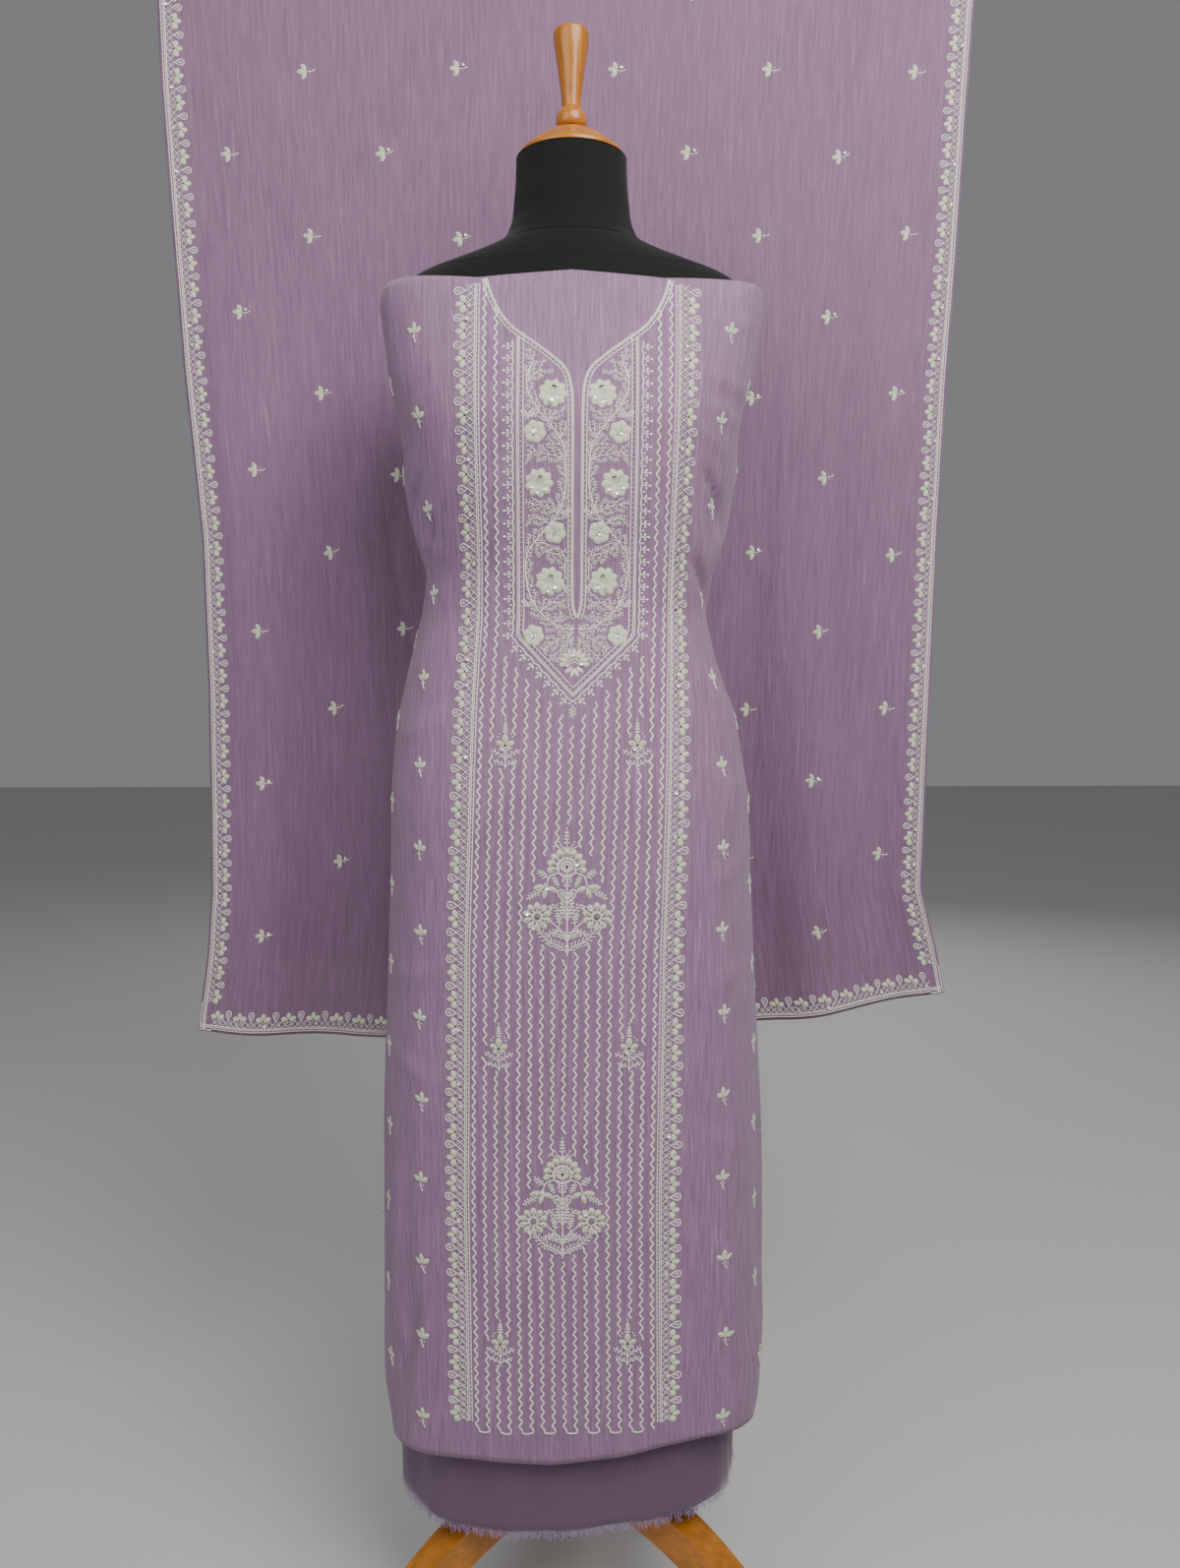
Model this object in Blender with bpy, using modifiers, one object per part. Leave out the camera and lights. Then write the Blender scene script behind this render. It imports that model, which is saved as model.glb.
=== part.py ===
"""Unstitched salwar kameez suit on a limbless dress form: an embroidered kameez length wrapped round it,
a plain salwar length below it, and a sheer dupatta folded over the rod of a free-standing rack behind.

Metres, +Z up. The front faces -Y, +X is on the viewer's right, and the floor is z = 0.
Every cloth is an open sheet worked out from its cut size and a table of level sections, then given its wall.
"""

from collections import namedtuple
from math import cos, pi, radians, sin

import bmesh
import bpy
import numpy as np
from mathutils import Vector

# ---------------------------------------------------------------- driving dimensions
GAP = 0.0003  # clearance where two pieces touch
CLOTH_WALL = 0.0016
DUPATTA_WALL = 0.0012

KAMEEZ_WIDTH = 1.12  # selvedge to selvedge, wrapped once round
KAMEEZ_COLUMNS, KAMEEZ_ROWS = 44, 21
SALWAR_WIDTH = 1.06
SALWAR_TOP = 0.975
SALWAR_COLUMNS, SALWAR_ROWS = 34, 8
LAP = 0.0044  # between the middles of the two layers that overlap at the back
LAP_BLEND = 0.07  # length over which a layer moves out or in to its place in the lap
FRINGE_LENGTH = 0.006

DUPATTA_WIDTH = 0.925
DUPATTA_COLUMNS = 26
LAYER_ROWS, FOLD_ROWS = 13, 6

LEG_REACH = 0.272  # column axis to the tip of a foot
LEG_THICKNESS = 0.034
LEG_DEPTH = 0.038
LEG_FOOT_TAPER = 0.16  # share of its depth that a leg loses towards the foot
LEG_CHAMFER = 0.004
LEG_ROOT = (0.0333, 0.150)  # reach and height of the leg's middle line where it meets the hub
LEG_CROWN = (0.172, 0.126)  # the point that bends the middle line down
LEG_TIP = (0.258, -0.016)  # below the floor, so that the foot is cut off flat along it
LEG_STEPS, LEG_LEAST_EDGE = 12, 0.003
LEG_TURNS = {"left": radians(210), "right": radians(330), "back": radians(90)}
FRONT_FOOT_REACH = 0.148548  # form axis to the foremost point of the front feet, chamfer included

RACK_BEHIND = 0.205  # form axis to rod axis
ROD_RADIUS = 0.014
ROD_LENGTH = 1.0
ROD_HEIGHT = 1.825
ROD_CLEARANCE = 0.0012
FOLD_RADIUS = ROD_RADIUS + ROD_CLEARANCE + DUPATTA_WALL / 2
POST_RADIUS = 0.009
POST_HEAD_GAP = 0.0008
POST_FOOT_BEHIND = 0.37  # form axis to the foot of the post
POST_BEND_LOW, POST_BEND_HIGH, POST_BEND_STEPS = 0.16, 0.52, 10
BASE_BEHIND = 0.445  # form axis to the back edge of the base plate
BASE_FRONT_BEHIND = 0.125
BASE_WIDTH = 0.30
BASE_THICKNESS = 0.010
BASE_SLOT_WIDTH = 0.064
BASE_SLOT_END_BEHIND = 0.305

NECK_RADIUS = 0.0535
NECK_TOP = 1.494
TORSO_BOTTOM = 0.72
COLUMN_RADIUS = 0.0125
TORSO_SIDES = 32
HUB_RADIUS = 0.033
HUB_TOP = 0.190
HUB_BOTTOM = 0.105

FORM_Y = -(BASE_BEHIND - FRONT_FOOT_REACH) / 2  # centres the whole set front to back on the origin
ROD_Y = FORM_Y + RACK_BEHIND

# ---------------------------------------------------------------- sections
# Reaches are from the form's axis; squareness 2 is an ellipse and more is boxier.
Ring = namedtuple("Ring", "height left right front back squareness")

KAMEEZ_RINGS = (
    Ring(1.372, 0.180, 0.184, 0.083, 0.078, 2.9),
    Ring(1.355, 0.186, 0.188, 0.090, 0.082, 2.9),
    Ring(1.280, 0.177, 0.174, 0.112, 0.090, 2.7),
    Ring(1.230, 0.166, 0.162, 0.123, 0.094, 2.5),
    Ring(1.165, 0.154, 0.150, 0.120, 0.092, 2.3),
    Ring(1.095, 0.141, 0.136, 0.107, 0.089, 2.3),
    Ring(1.055, 0.148, 0.130, 0.104, 0.090, 2.3),
    Ring(1.005, 0.163, 0.146, 0.108, 0.098, 2.4),
    Ring(0.950, 0.175, 0.165, 0.116, 0.109, 2.5),
    Ring(0.880, 0.181, 0.177, 0.124, 0.119, 2.6),
    Ring(0.800, 0.183, 0.180, 0.127, 0.122, 2.6),
    Ring(0.625, 0.189, 0.188, 0.127, 0.123, 2.7),
    Ring(0.400, 0.193, 0.192, 0.125, 0.121, 2.9),
    Ring(0.270, 0.196, 0.192, 0.124, 0.120, 3.1),
    Ring(0.230, 0.191, 0.186, 0.122, 0.118, 3.2),
    Ring(0.205, 0.186, 0.181, 0.120, 0.116, 3.2),
)

SALWAR_RINGS = (
    Ring(0.980, 0.150, 0.140, 0.096, 0.090, 2.3),
    Ring(0.930, 0.163, 0.157, 0.103, 0.099, 2.4),
    Ring(0.870, 0.169, 0.166, 0.111, 0.107, 2.5),
    Ring(0.700, 0.172, 0.170, 0.112, 0.109, 2.6),
    Ring(0.400, 0.173, 0.170, 0.111, 0.108, 2.7),
    Ring(0.240, 0.174, 0.169, 0.108, 0.106, 2.7),
    Ring(0.140, 0.176, 0.169, 0.107, 0.105, 2.7),
)

TORSO_RINGS = (
    Ring(NECK_TOP, 0.0535, 0.0535, 0.0535, 0.0535, 2.0),
    Ring(1.470, 0.0545, 0.0545, 0.0545, 0.0545, 2.0),
    Ring(1.435, 0.0580, 0.0580, 0.0570, 0.0570, 2.0),
    Ring(1.416, 0.0660, 0.0660, 0.0600, 0.0590, 2.0),
    Ring(1.404, 0.0900, 0.0900, 0.0630, 0.0600, 2.1),
    Ring(1.393, 0.1230, 0.1230, 0.0660, 0.0610, 2.2),
    Ring(1.382, 0.1530, 0.1550, 0.0690, 0.0630, 2.3),
    Ring(1.368, 0.1690, 0.1700, 0.0740, 0.0670, 2.4),
    Ring(1.345, 0.1740, 0.1740, 0.0830, 0.0730, 2.4),
    Ring(1.290, 0.1680, 0.1660, 0.1010, 0.0800, 2.4),
    Ring(1.220, 0.1540, 0.1510, 0.1140, 0.0830, 2.3),
    Ring(1.150, 0.1380, 0.1350, 0.1060, 0.0800, 2.2),
    Ring(1.080, 0.1260, 0.1200, 0.0930, 0.0760, 2.2),
    Ring(1.040, 0.1260, 0.1180, 0.0880, 0.0760, 2.2),
    Ring(0.980, 0.1380, 0.1290, 0.0880, 0.0800, 2.2),
    Ring(0.900, 0.1560, 0.1530, 0.0980, 0.0940, 2.3),
    Ring(0.830, 0.1610, 0.1590, 0.1020, 0.0990, 2.3),
    Ring(0.760, 0.1570, 0.1560, 0.0990, 0.0970, 2.3),
    Ring(TORSO_BOTTOM, 0.1480, 0.1470, 0.0920, 0.0910, 2.3),
)

# A fold runs from (across, top) down to (across + lean, bottom); across is measured on the cloth from
# the middle of the front, + to the right. A plus rise is a ridge and a minus rise is a trough.
Fold = namedtuple("Fold", "across top bottom lean rise width")

KAMEEZ_FOLDS = (
    Fold(-0.205, 1.190, 1.110, 0.010, 0.008, 0.034),
    Fold(0.200, 1.200, 1.130, -0.008, 0.007, 0.034),
    Fold(0.185, 1.115, 1.060, -0.004, 0.008, 0.032),
    Fold(-0.150, 0.400, 0.245, -0.055, -0.007, 0.030),
    Fold(0.205, 0.340, 0.245, -0.030, 0.006, 0.034),
    Fold(-0.330, 1.160, 0.980, 0.030, -0.007, 0.034),
    Fold(0.330, 1.120, 0.960, -0.025, -0.006, 0.034),
    Fold(-0.270, 0.620, 0.260, -0.020, 0.006, 0.040),
    Fold(0.285, 0.700, 0.300, 0.025, 0.005, 0.040),
)

SALWAR_FOLDS = (
    Fold(0.022, 0.420, 0.150, 0.004, -0.004, 0.030),
    Fold(-0.230, 0.600, 0.150, 0.010, 0.006, 0.036),
    Fold(0.260, 0.560, 0.150, 0.012, 0.005, 0.036),
)

# The hem and the top edge of each wrapped cloth, by distance across from the middle of the front.
Edge = namedtuple("Edge", "across height")

KAMEEZ_TOP_EDGE = (
    Edge(-0.560, 1.362), Edge(-0.220, 1.368), Edge(-0.150, 1.365), Edge(-0.085, 1.358), Edge(0.0, 1.365),
    Edge(0.085, 1.358), Edge(0.150, 1.362), Edge(0.220, 1.367), Edge(0.560, 1.362),
)
KAMEEZ_HEM = (
    Edge(-0.560, 0.224), Edge(-0.330, 0.210), Edge(-0.285, 0.209), Edge(-0.240, 0.218), Edge(-0.170, 0.234),
    Edge(-0.095, 0.239), Edge(-0.020, 0.235), Edge(0.045, 0.242), Edge(0.090, 0.252), Edge(0.130, 0.255),
    Edge(0.180, 0.251), Edge(0.240, 0.238), Edge(0.290, 0.228), Edge(0.340, 0.226), Edge(0.560, 0.224),
)
SALWAR_HEM = (
    Edge(-0.530, 0.158), Edge(-0.210, 0.156), Edge(-0.130, 0.153), Edge(-0.020, 0.154), Edge(0.060, 0.161),
    Edge(0.150, 0.168), Edge(0.260, 0.166), Edge(0.530, 0.158),
)

# Side edges of the dupatta's two hanging layers, as reaches from the middle.
Drop = namedtuple("Drop", "height left right")

FRONT_DROP = (
    Drop(1.810, 0.4600, 0.4540), Drop(1.650, 0.4570, 0.4460), Drop(1.480, 0.4480, 0.4380),
    Drop(1.340, 0.4400, 0.4300), Drop(1.150, 0.4230, 0.4220), Drop(0.980, 0.4190, 0.4170),
    Drop(0.840, 0.4200, 0.4140), Drop(0.745, 0.4220, 0.4130), Drop(0.670, 0.4290, 0.4330),
    Drop(0.600, 0.4400, 0.4480), Drop(0.560, 0.4440, 0.4500),
)
BACK_DROP = (
    Drop(1.810, 0.4600, 0.4540), Drop(1.480, 0.4500, 0.4380), Drop(1.150, 0.4330, 0.4080),
    Drop(0.950, 0.4280, 0.3850), Drop(0.817, 0.4290, 0.3640), Drop(0.745, 0.4310, 0.3480),
    Drop(0.640, 0.4330, 0.3350),
)
FRONT_DUPATTA_HEM = (
    Edge(-0.4625, 0.579), Edge(-0.270, 0.569), Edge(0.150, 0.578), Edge(0.270, 0.589), Edge(0.360, 0.604),
    Edge(0.4625, 0.620),
)
BACK_DUPATTA_HEM = (
    Edge(-0.4625, 0.654), Edge(-0.300, 0.642), Edge(0.200, 0.659), Edge(0.350, 0.664), Edge(0.400, 0.672),
    Edge(0.4625, 0.700),
)

# Hanging pleats of the dupatta: across is on the cloth, start is the height where each begins.
Pleat = namedtuple("Pleat", "across width rise start")

FRONT_PLEATS = (
    Pleat(-0.400, 0.050, 0.011, 1.45), Pleat(-0.300, 0.055, -0.009, 1.30), Pleat(-0.170, 0.060, 0.008, 1.55),
    Pleat(-0.040, 0.055, -0.007, 1.25), Pleat(0.090, 0.050, 0.008, 1.50), Pleat(0.210, 0.055, -0.009, 1.35),
    Pleat(0.310, 0.045, 0.010, 1.20), Pleat(0.400, 0.045, -0.010, 1.05),
)
BACK_PLEATS = (
    Pleat(-0.370, 0.060, 0.010, 1.40), Pleat(-0.200, 0.055, -0.008, 1.25), Pleat(-0.020, 0.065, 0.009, 1.50),
    Pleat(0.160, 0.055, -0.008, 1.20), Pleat(0.320, 0.055, 0.010, 1.35),
)
LAYER_SPREAD = 0.020  # how much further out each layer hangs at the hem than at the rod
SPREAD_SHARE = 0.625  # share of the rod's height over which it does
PLEAT_GROWTH = 0.45  # drop over which a pleat reaches its full rise

# ---------------------------------------------------------------- turned profiles
Turn = namedtuple("Turn", "radius height")

FINIAL_PROFILE = (
    Turn(0.0000, 1.6160), Turn(0.0130, 1.6157), Turn(0.0164, 1.6138), Turn(0.0172, 1.6090),
    Turn(0.0165, 1.6000), Turn(0.0140, 1.5840), Turn(0.0108, 1.5620), Turn(0.0088, 1.5440),
    Turn(0.0098, 1.5410), Turn(0.0140, 1.5370), Turn(0.0151, 1.5320), Turn(0.0142, 1.5260),
    Turn(0.0110, 1.5240), Turn(0.0000, 1.5240),
)
NECK_CAP_PROFILE = (
    Turn(0.0000, 1.5237), Turn(0.0130, 1.5230), Turn(0.0270, 1.5175), Turn(0.0400, 1.5090),
    Turn(0.0480, 1.5020), Turn(0.0510, 1.4985), Turn(0.0510, NECK_TOP + GAP), Turn(0.0000, NECK_TOP + GAP),
)
HUB_PROFILE = (
    Turn(0.0000, HUB_TOP), Turn(0.0180, HUB_TOP), Turn(0.0230, 0.1860), Turn(0.0290, 0.1800),
    Turn(HUB_RADIUS, 0.1740), Turn(HUB_RADIUS, 0.1180), Turn(0.0290, 0.1110), Turn(0.0200, HUB_BOTTOM),
    Turn(0.0000, HUB_BOTTOM),
)

Finish = namedtuple("Finish", "colour roughness metallic")

FINISHES = {
    "lilac_crepe": Finish((0.36, 0.27, 0.37), 0.75, 0.0),
    "violet_crepe": Finish((0.14, 0.09, 0.17), 0.80, 0.0),
    "sheer_lilac": Finish((0.33, 0.24, 0.33), 0.70, 0.0),
    "black_jersey": Finish((0.016, 0.018, 0.018), 0.90, 0.0),
    "honey_wood": Finish((0.42, 0.20, 0.06), 0.35, 0.0),
    "grey_steel": Finish((0.40, 0.40, 0.41), 0.40, 1.0),
}


# ---------------------------------------------------------------- scene helpers
def clear_scene():
    for obj in list(bpy.data.objects):
        bpy.data.objects.remove(obj, do_unlink=True)


def collection_named(name):
    made = bpy.data.collections.new(name)
    bpy.context.scene.collection.children.link(made)
    return made


def finish_named(name):
    found = bpy.data.materials.get(name)
    if found:
        return found
    finish = FINISHES[name]
    material = bpy.data.materials.new(name)
    material.use_nodes = True
    shader = material.node_tree.nodes["Principled BSDF"]
    shader.inputs["Base Color"].default_value = (*finish.colour, 1.0)
    shader.inputs["Roughness"].default_value = finish.roughness
    shader.inputs["Metallic"].default_value = finish.metallic
    material.diffuse_color = (*finish.colour, 1.0)
    return material


def add_object(name, data, material):
    obj = bpy.data.objects.new(name, data)
    data.materials.append(finish_named(material))
    SUIT.objects.link(obj)
    return obj


def mesh_from(name, bm):
    bmesh.ops.recalc_face_normals(bm, faces=bm.faces)
    mesh = bpy.data.meshes.new(name)
    bm.to_mesh(mesh)
    bm.free()
    mesh.shade_smooth()
    return mesh


def as_mesh(obj):
    """Replaces a curve object with a welded mesh object of the same name."""
    bpy.context.view_layer.update()
    evaluated = obj.evaluated_get(bpy.context.evaluated_depsgraph_get())
    mesh = bpy.data.meshes.new_from_object(evaluated)
    bm = bmesh.new()
    bm.from_mesh(mesh)
    bmesh.ops.remove_doubles(bm, verts=bm.verts, dist=0.00001)
    bmesh.ops.recalc_face_normals(bm, faces=bm.faces)
    bm.to_mesh(mesh)
    bm.free()
    name, place = obj.name, obj.matrix_world.copy()
    bpy.data.objects.remove(obj, do_unlink=True)
    made = bpy.data.objects.new(name, mesh)
    made.matrix_world = place
    SUIT.objects.link(made)
    return made


# ---------------------------------------------------------------- sheet geometry
def ease(value):
    """0 below 0, 1 above 1, and a smooth step between."""
    value = np.clip(value, 0.0, 1.0)
    return value * value * (3.0 - 2.0 * value)


def read_edge(table, across):
    return float(np.interp(across, [row.across for row in table], [row.height for row in table]))


def ring_at(table, height):
    """The section at any height, read between the table's rows."""
    rows = sorted(table, key=lambda row: row.height)
    heights = [row.height for row in rows]
    return Ring(height, *(
        float(np.interp(height, heights, [getattr(row, column) for row in rows]))
        for column in Ring._fields[1:]
    ))


def outline(ring, count):
    """count points round a section, anticlockwise from the middle of its front."""
    angles = np.linspace(-pi / 2, 1.5 * pi, count)
    power = 2.0 / ring.squareness
    side = np.sign(np.cos(angles)) * np.abs(np.cos(angles)) ** power
    deep = np.sign(np.sin(angles)) * np.abs(np.sin(angles)) ** power
    x = np.where(side > 0, ring.right, ring.left) * side
    y = np.where(deep > 0, ring.back, ring.front) * deep
    return np.column_stack([x, y])


class Wrap:
    """A level section that cloth lies along, read by distance from the middle of the front."""

    def __init__(self, ring):
        self.points = outline(ring, 361)
        steps = np.linalg.norm(np.diff(self.points, axis=0), axis=1)
        self.lengths = np.concatenate([[0.0], np.cumsum(steps)])
        self.girth = self.lengths[-1]

    def place(self, across):
        """(point, outward normal) in plan."""
        at = across % self.girth
        point = np.array([np.interp(at, self.lengths, self.points[:, axis]) for axis in (0, 1)])
        ahead, behind = (
            np.array([np.interp((at + step) % self.girth, self.lengths, self.points[:, axis])
                      for axis in (0, 1)])
            for step in (0.004, -0.004)
        )
        along = (ahead - behind) / np.linalg.norm(ahead - behind)
        return point, np.array([along[1], -along[0]])


def fold_rise(folds, across, height):
    """How far the folds push the cloth out at a point."""
    total = 0.0
    for fold in folds:
        middle, half = (fold.top + fold.bottom) / 2, (fold.top - fold.bottom) / 2
        along = (fold.top - height) / (2 * half)
        sideways = (across - fold.across - fold.lean * along) / fold.width
        lengthways = max(0.0, abs(height - middle) - half * 0.55) / (half * 0.45 + 0.02)
        total += fold.rise * np.exp(-(sideways ** 2) - lengthways ** 2)
    return total


def wrapped_point(rings, folds, width, across, height):
    """A point of a cloth wrapped round the form, with its lap at the back."""
    wrap = Wrap(ring_at(rings, height))
    point, normal = wrap.place(across)
    lap_start = wrap.girth - width / 2
    layer = ease((abs(across) - (lap_start - LAP_BLEND)) / LAP_BLEND)
    out = (LAP / 2 if across < 0 else -LAP / 2) * layer
    out += fold_rise(folds, across, height) * (1.0 - layer)
    x, y = point + normal * out
    return Vector((x, y + FORM_Y, height))


def sheet_object(name, grid, wall, material):
    """An open sheet from rows of points, given its wall by Solidify."""
    bm = bmesh.new()
    rows = [[bm.verts.new(point) for point in row] for row in grid]
    for upper, lower in zip(rows, rows[1:]):
        for a, b, c, d in zip(upper, upper[1:], lower[1:], lower):
            bm.faces.new((a, d, c, b))
    mesh = bpy.data.meshes.new(name)
    bm.to_mesh(mesh)
    bm.free()
    mesh.shade_smooth()
    obj = add_object(name, mesh, material)
    skin = obj.modifiers.new("wall", "SOLIDIFY")
    skin.thickness = wall
    skin.offset = 0.0
    return obj


def wrapped_grid(rings, folds, width, columns, rows, top_of, bottom_of):
    grid = []
    for row in range(rows + 1):
        share = row / rows
        line = []
        for column in range(columns + 1):
            across = width * (column / columns - 0.5)
            height = top_of(across) * (1 - share) + bottom_of(across) * share
            line.append(wrapped_point(rings, folds, width, across, height))
        grid.append(line)
    return grid


# ---------------------------------------------------------------- cloth
def make_kameez():
    grid = wrapped_grid(
        KAMEEZ_RINGS, KAMEEZ_FOLDS, KAMEEZ_WIDTH, KAMEEZ_COLUMNS, KAMEEZ_ROWS,
        lambda across: read_edge(KAMEEZ_TOP_EDGE, across),
        lambda across: read_edge(KAMEEZ_HEM, across),
    )
    sheet_object("kameez", grid, CLOTH_WALL, "lilac_crepe")


def make_salwar():
    grid = wrapped_grid(
        SALWAR_RINGS, SALWAR_FOLDS, SALWAR_WIDTH, SALWAR_COLUMNS, SALWAR_ROWS,
        lambda across: SALWAR_TOP,
        lambda across: read_edge(SALWAR_HEM, across),
    )
    sheet_object("salwar", grid, CLOTH_WALL, "violet_crepe")


def make_salwar_fringe():
    grid = wrapped_grid(
        SALWAR_RINGS, SALWAR_FOLDS, SALWAR_WIDTH, SALWAR_COLUMNS, 1,
        lambda across: read_edge(SALWAR_HEM, across) - GAP,
        lambda across: read_edge(SALWAR_HEM, across) - FRINGE_LENGTH,
    )
    sheet_object("salwar_fringe", grid, CLOTH_WALL, "violet_crepe")


def layer_point(across, height, drops, pleats, side):
    """A point of one hanging layer; side is -1 for the front layer and +1 for the back one."""
    rows = sorted(drops, key=lambda row: row.height)
    heights = [row.height for row in rows]
    reach = [row.left if across < 0 else row.right for row in rows]
    x = across / (DUPATTA_WIDTH / 2) * float(np.interp(height, heights, reach))
    hang = (ROD_HEIGHT - height) / ROD_HEIGHT
    out = LAYER_SPREAD * ease(hang / SPREAD_SHARE)
    for pleat in pleats:
        grown = ease((pleat.start - height) / PLEAT_GROWTH)
        out += pleat.rise * grown * np.exp(-(((across - pleat.across) / pleat.width) ** 2))
    return Vector((x, ROD_Y + side * (FOLD_RADIUS + out), height))


def layer_row(spread, share, hem, drops, pleats, side):
    """One row of a hanging layer, share of the way from the rod down to its hem."""
    return [
        layer_point(across, ROD_HEIGHT * (1 - share) + read_edge(hem, across) * share, drops, pleats, side)
        for across in spread
    ]


def fold_row(spread, angle):
    """One row of the stretch that bends over the rod, from 0 in front of it to pi behind it."""
    y, z = ROD_Y - FOLD_RADIUS * cos(angle), ROD_HEIGHT + FOLD_RADIUS * sin(angle)
    return [Vector((layer_point(across, ROD_HEIGHT, FRONT_DROP, (), -1).x, y, z)) for across in spread]


def make_dupatta():
    spread = [DUPATTA_WIDTH * (column / DUPATTA_COLUMNS - 0.5) for column in range(DUPATTA_COLUMNS + 1)]
    front = [layer_row(spread, row / LAYER_ROWS, FRONT_DUPATTA_HEM, FRONT_DROP, FRONT_PLEATS, -1)
             for row in range(LAYER_ROWS, 0, -1)]
    over = [fold_row(spread, pi * row / FOLD_ROWS) for row in range(FOLD_ROWS + 1)]
    back = [layer_row(spread, row / LAYER_ROWS, BACK_DUPATTA_HEM, BACK_DROP, BACK_PLEATS, 1)
            for row in range(1, LAYER_ROWS + 1)]
    sheet_object("dupatta", front + over + back, DUPATTA_WALL, "sheer_lilac")


# ---------------------------------------------------------------- dress form
def make_torso():
    bm = bmesh.new()
    loops = []
    for ring in TORSO_RINGS:
        points = outline(ring, TORSO_SIDES + 1)[:-1]
        loops.append([bm.verts.new((x, y + FORM_Y, ring.height)) for x, y in points])
    for upper, lower in zip(loops, loops[1:]):
        for i in range(len(upper)):
            j = (i + 1) % len(upper)
            bm.faces.new((upper[i], lower[i], lower[j], upper[j]))
    bm.faces.new(loops[0])
    bm.faces.new(reversed(loops[-1]))
    add_object("form_torso", mesh_from("form_torso", bm), "black_jersey")


def turned(name, profile, material, steps=24):
    """A turned piece on the form's axis: its profile runs down the outer side."""
    bm = bmesh.new()
    verts = [bm.verts.new((turn.radius, 0, turn.height)) for turn in profile]
    for a, b in zip(verts, verts[1:]):
        bm.edges.new((a, b))
    mesh = bpy.data.meshes.new(name)
    bm.to_mesh(mesh)
    bm.free()
    obj = add_object(name, mesh, material)
    obj.location = (0, FORM_Y, 0)
    screw = obj.modifiers.new("turn", "SCREW")
    screw.steps = screw.render_steps = steps
    screw.use_merge_vertices = True
    screw.merge_threshold = 0.00005
    screw.use_smooth_shade = True
    return obj


def make_column():
    bm = bmesh.new()
    length = TORSO_BOTTOM - HUB_TOP - 2 * GAP
    bmesh.ops.create_cone(bm, cap_ends=True, segments=16, radius1=COLUMN_RADIUS, radius2=COLUMN_RADIUS,
                          depth=length)
    obj = add_object("form_column", mesh_from("form_column", bm), "grey_steel")
    obj.location = (0, FORM_Y, (TORSO_BOTTOM + HUB_TOP) / 2)


def leg_outline():
    """The side view of a leg: reach out from the axis and height, arched from the hub down to the floor."""
    root, crown, tip = (np.array(point) for point in (LEG_ROOT, LEG_CROWN, LEG_TIP))
    upper, lower = [], []
    for i in range(LEG_STEPS + 1):
        t = i / LEG_STEPS
        middle = (1 - t) ** 2 * root + 2 * t * (1 - t) * crown + t ** 2 * tip
        along = (1 - t) * (crown - root) + t * (tip - crown)
        normal = np.array([-along[1], along[0]]) / np.linalg.norm(along)
        half = LEG_DEPTH / 2 * (1.0 - LEG_FOOT_TAPER * t)
        if i == 0:
            normal = np.array([0.0, 1.0])  # the end face stands upright against the hub
        upper.append(middle + normal * half)
        lower.append(middle - normal * half)
    route = upper + lower[::-1]
    corners = []
    for reach, height in route:
        point = (min(reach, LEG_REACH), max(height, 0.0))
        if not corners or np.hypot(*np.subtract(point, corners[-1])) > LEG_LEAST_EDGE:
            corners.append(point)
    return corners


def flat_outline(name, corners, thickness, material):
    """A flat piece cut to a closed outline, half its thickness on each side of the outline's plane."""
    curve = bpy.data.curves.new(name, "CURVE")
    curve.dimensions = "2D"
    curve.fill_mode = "BOTH"
    curve.extrude = thickness / 2
    spline = curve.splines.new("POLY")
    spline.points.add(len(corners) - 1)
    for point, corner in zip(spline.points, corners):
        point.co = (*corner, 0, 1)
    spline.use_cyclic_u = True
    return add_object(name, curve, material)


def make_legs():
    for name, turn in LEG_TURNS.items():
        obj = flat_outline(f"form_leg_{name}", leg_outline(), LEG_THICKNESS, "honey_wood")
        obj.rotation_euler = (pi / 2, 0, turn)
        obj.location = (0, FORM_Y, 0)
        leg = as_mesh(obj)
        bevel = leg.modifiers.new("chamfer", "BEVEL")
        bevel.width = LEG_CHAMFER
        bevel.segments = 1
        bevel.limit_method = "ANGLE"
        bevel.angle_limit = radians(50)


# ---------------------------------------------------------------- dupatta rack
def tube(name, route, radius, material):
    curve = bpy.data.curves.new(name, "CURVE")
    curve.dimensions = "3D"
    curve.bevel_depth = radius
    curve.bevel_resolution = 4
    curve.use_fill_caps = True
    spline = curve.splines.new("POLY")
    spline.points.add(len(route) - 1)
    for point, place in zip(spline.points, route):
        point.co = (*place, 1)
    spline.use_smooth = True
    return add_object(name, curve, material)


def make_rod():
    half = ROD_LENGTH / 2
    tube("dupatta_rod", [(-half, ROD_Y, ROD_HEIGHT), (half, ROD_Y, ROD_HEIGHT)], ROD_RADIUS, "grey_steel")


def make_post():
    """A bent tube: it rises behind the back leg, leans forward, and runs up between the dupatta's layers."""
    foot_y = FORM_Y + POST_FOOT_BEHIND
    route = [(0, foot_y, BASE_THICKNESS + GAP)]
    for i in range(POST_BEND_STEPS + 1):
        share = i / POST_BEND_STEPS
        y = foot_y + (ROD_Y - foot_y) * float(ease(share))
        route.append((0, y, POST_BEND_LOW + (POST_BEND_HIGH - POST_BEND_LOW) * share))
    route.append((0, ROD_Y, ROD_HEIGHT - ROD_RADIUS - POST_HEAD_GAP))
    tube("rack_post", route, POST_RADIUS, "grey_steel")


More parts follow.
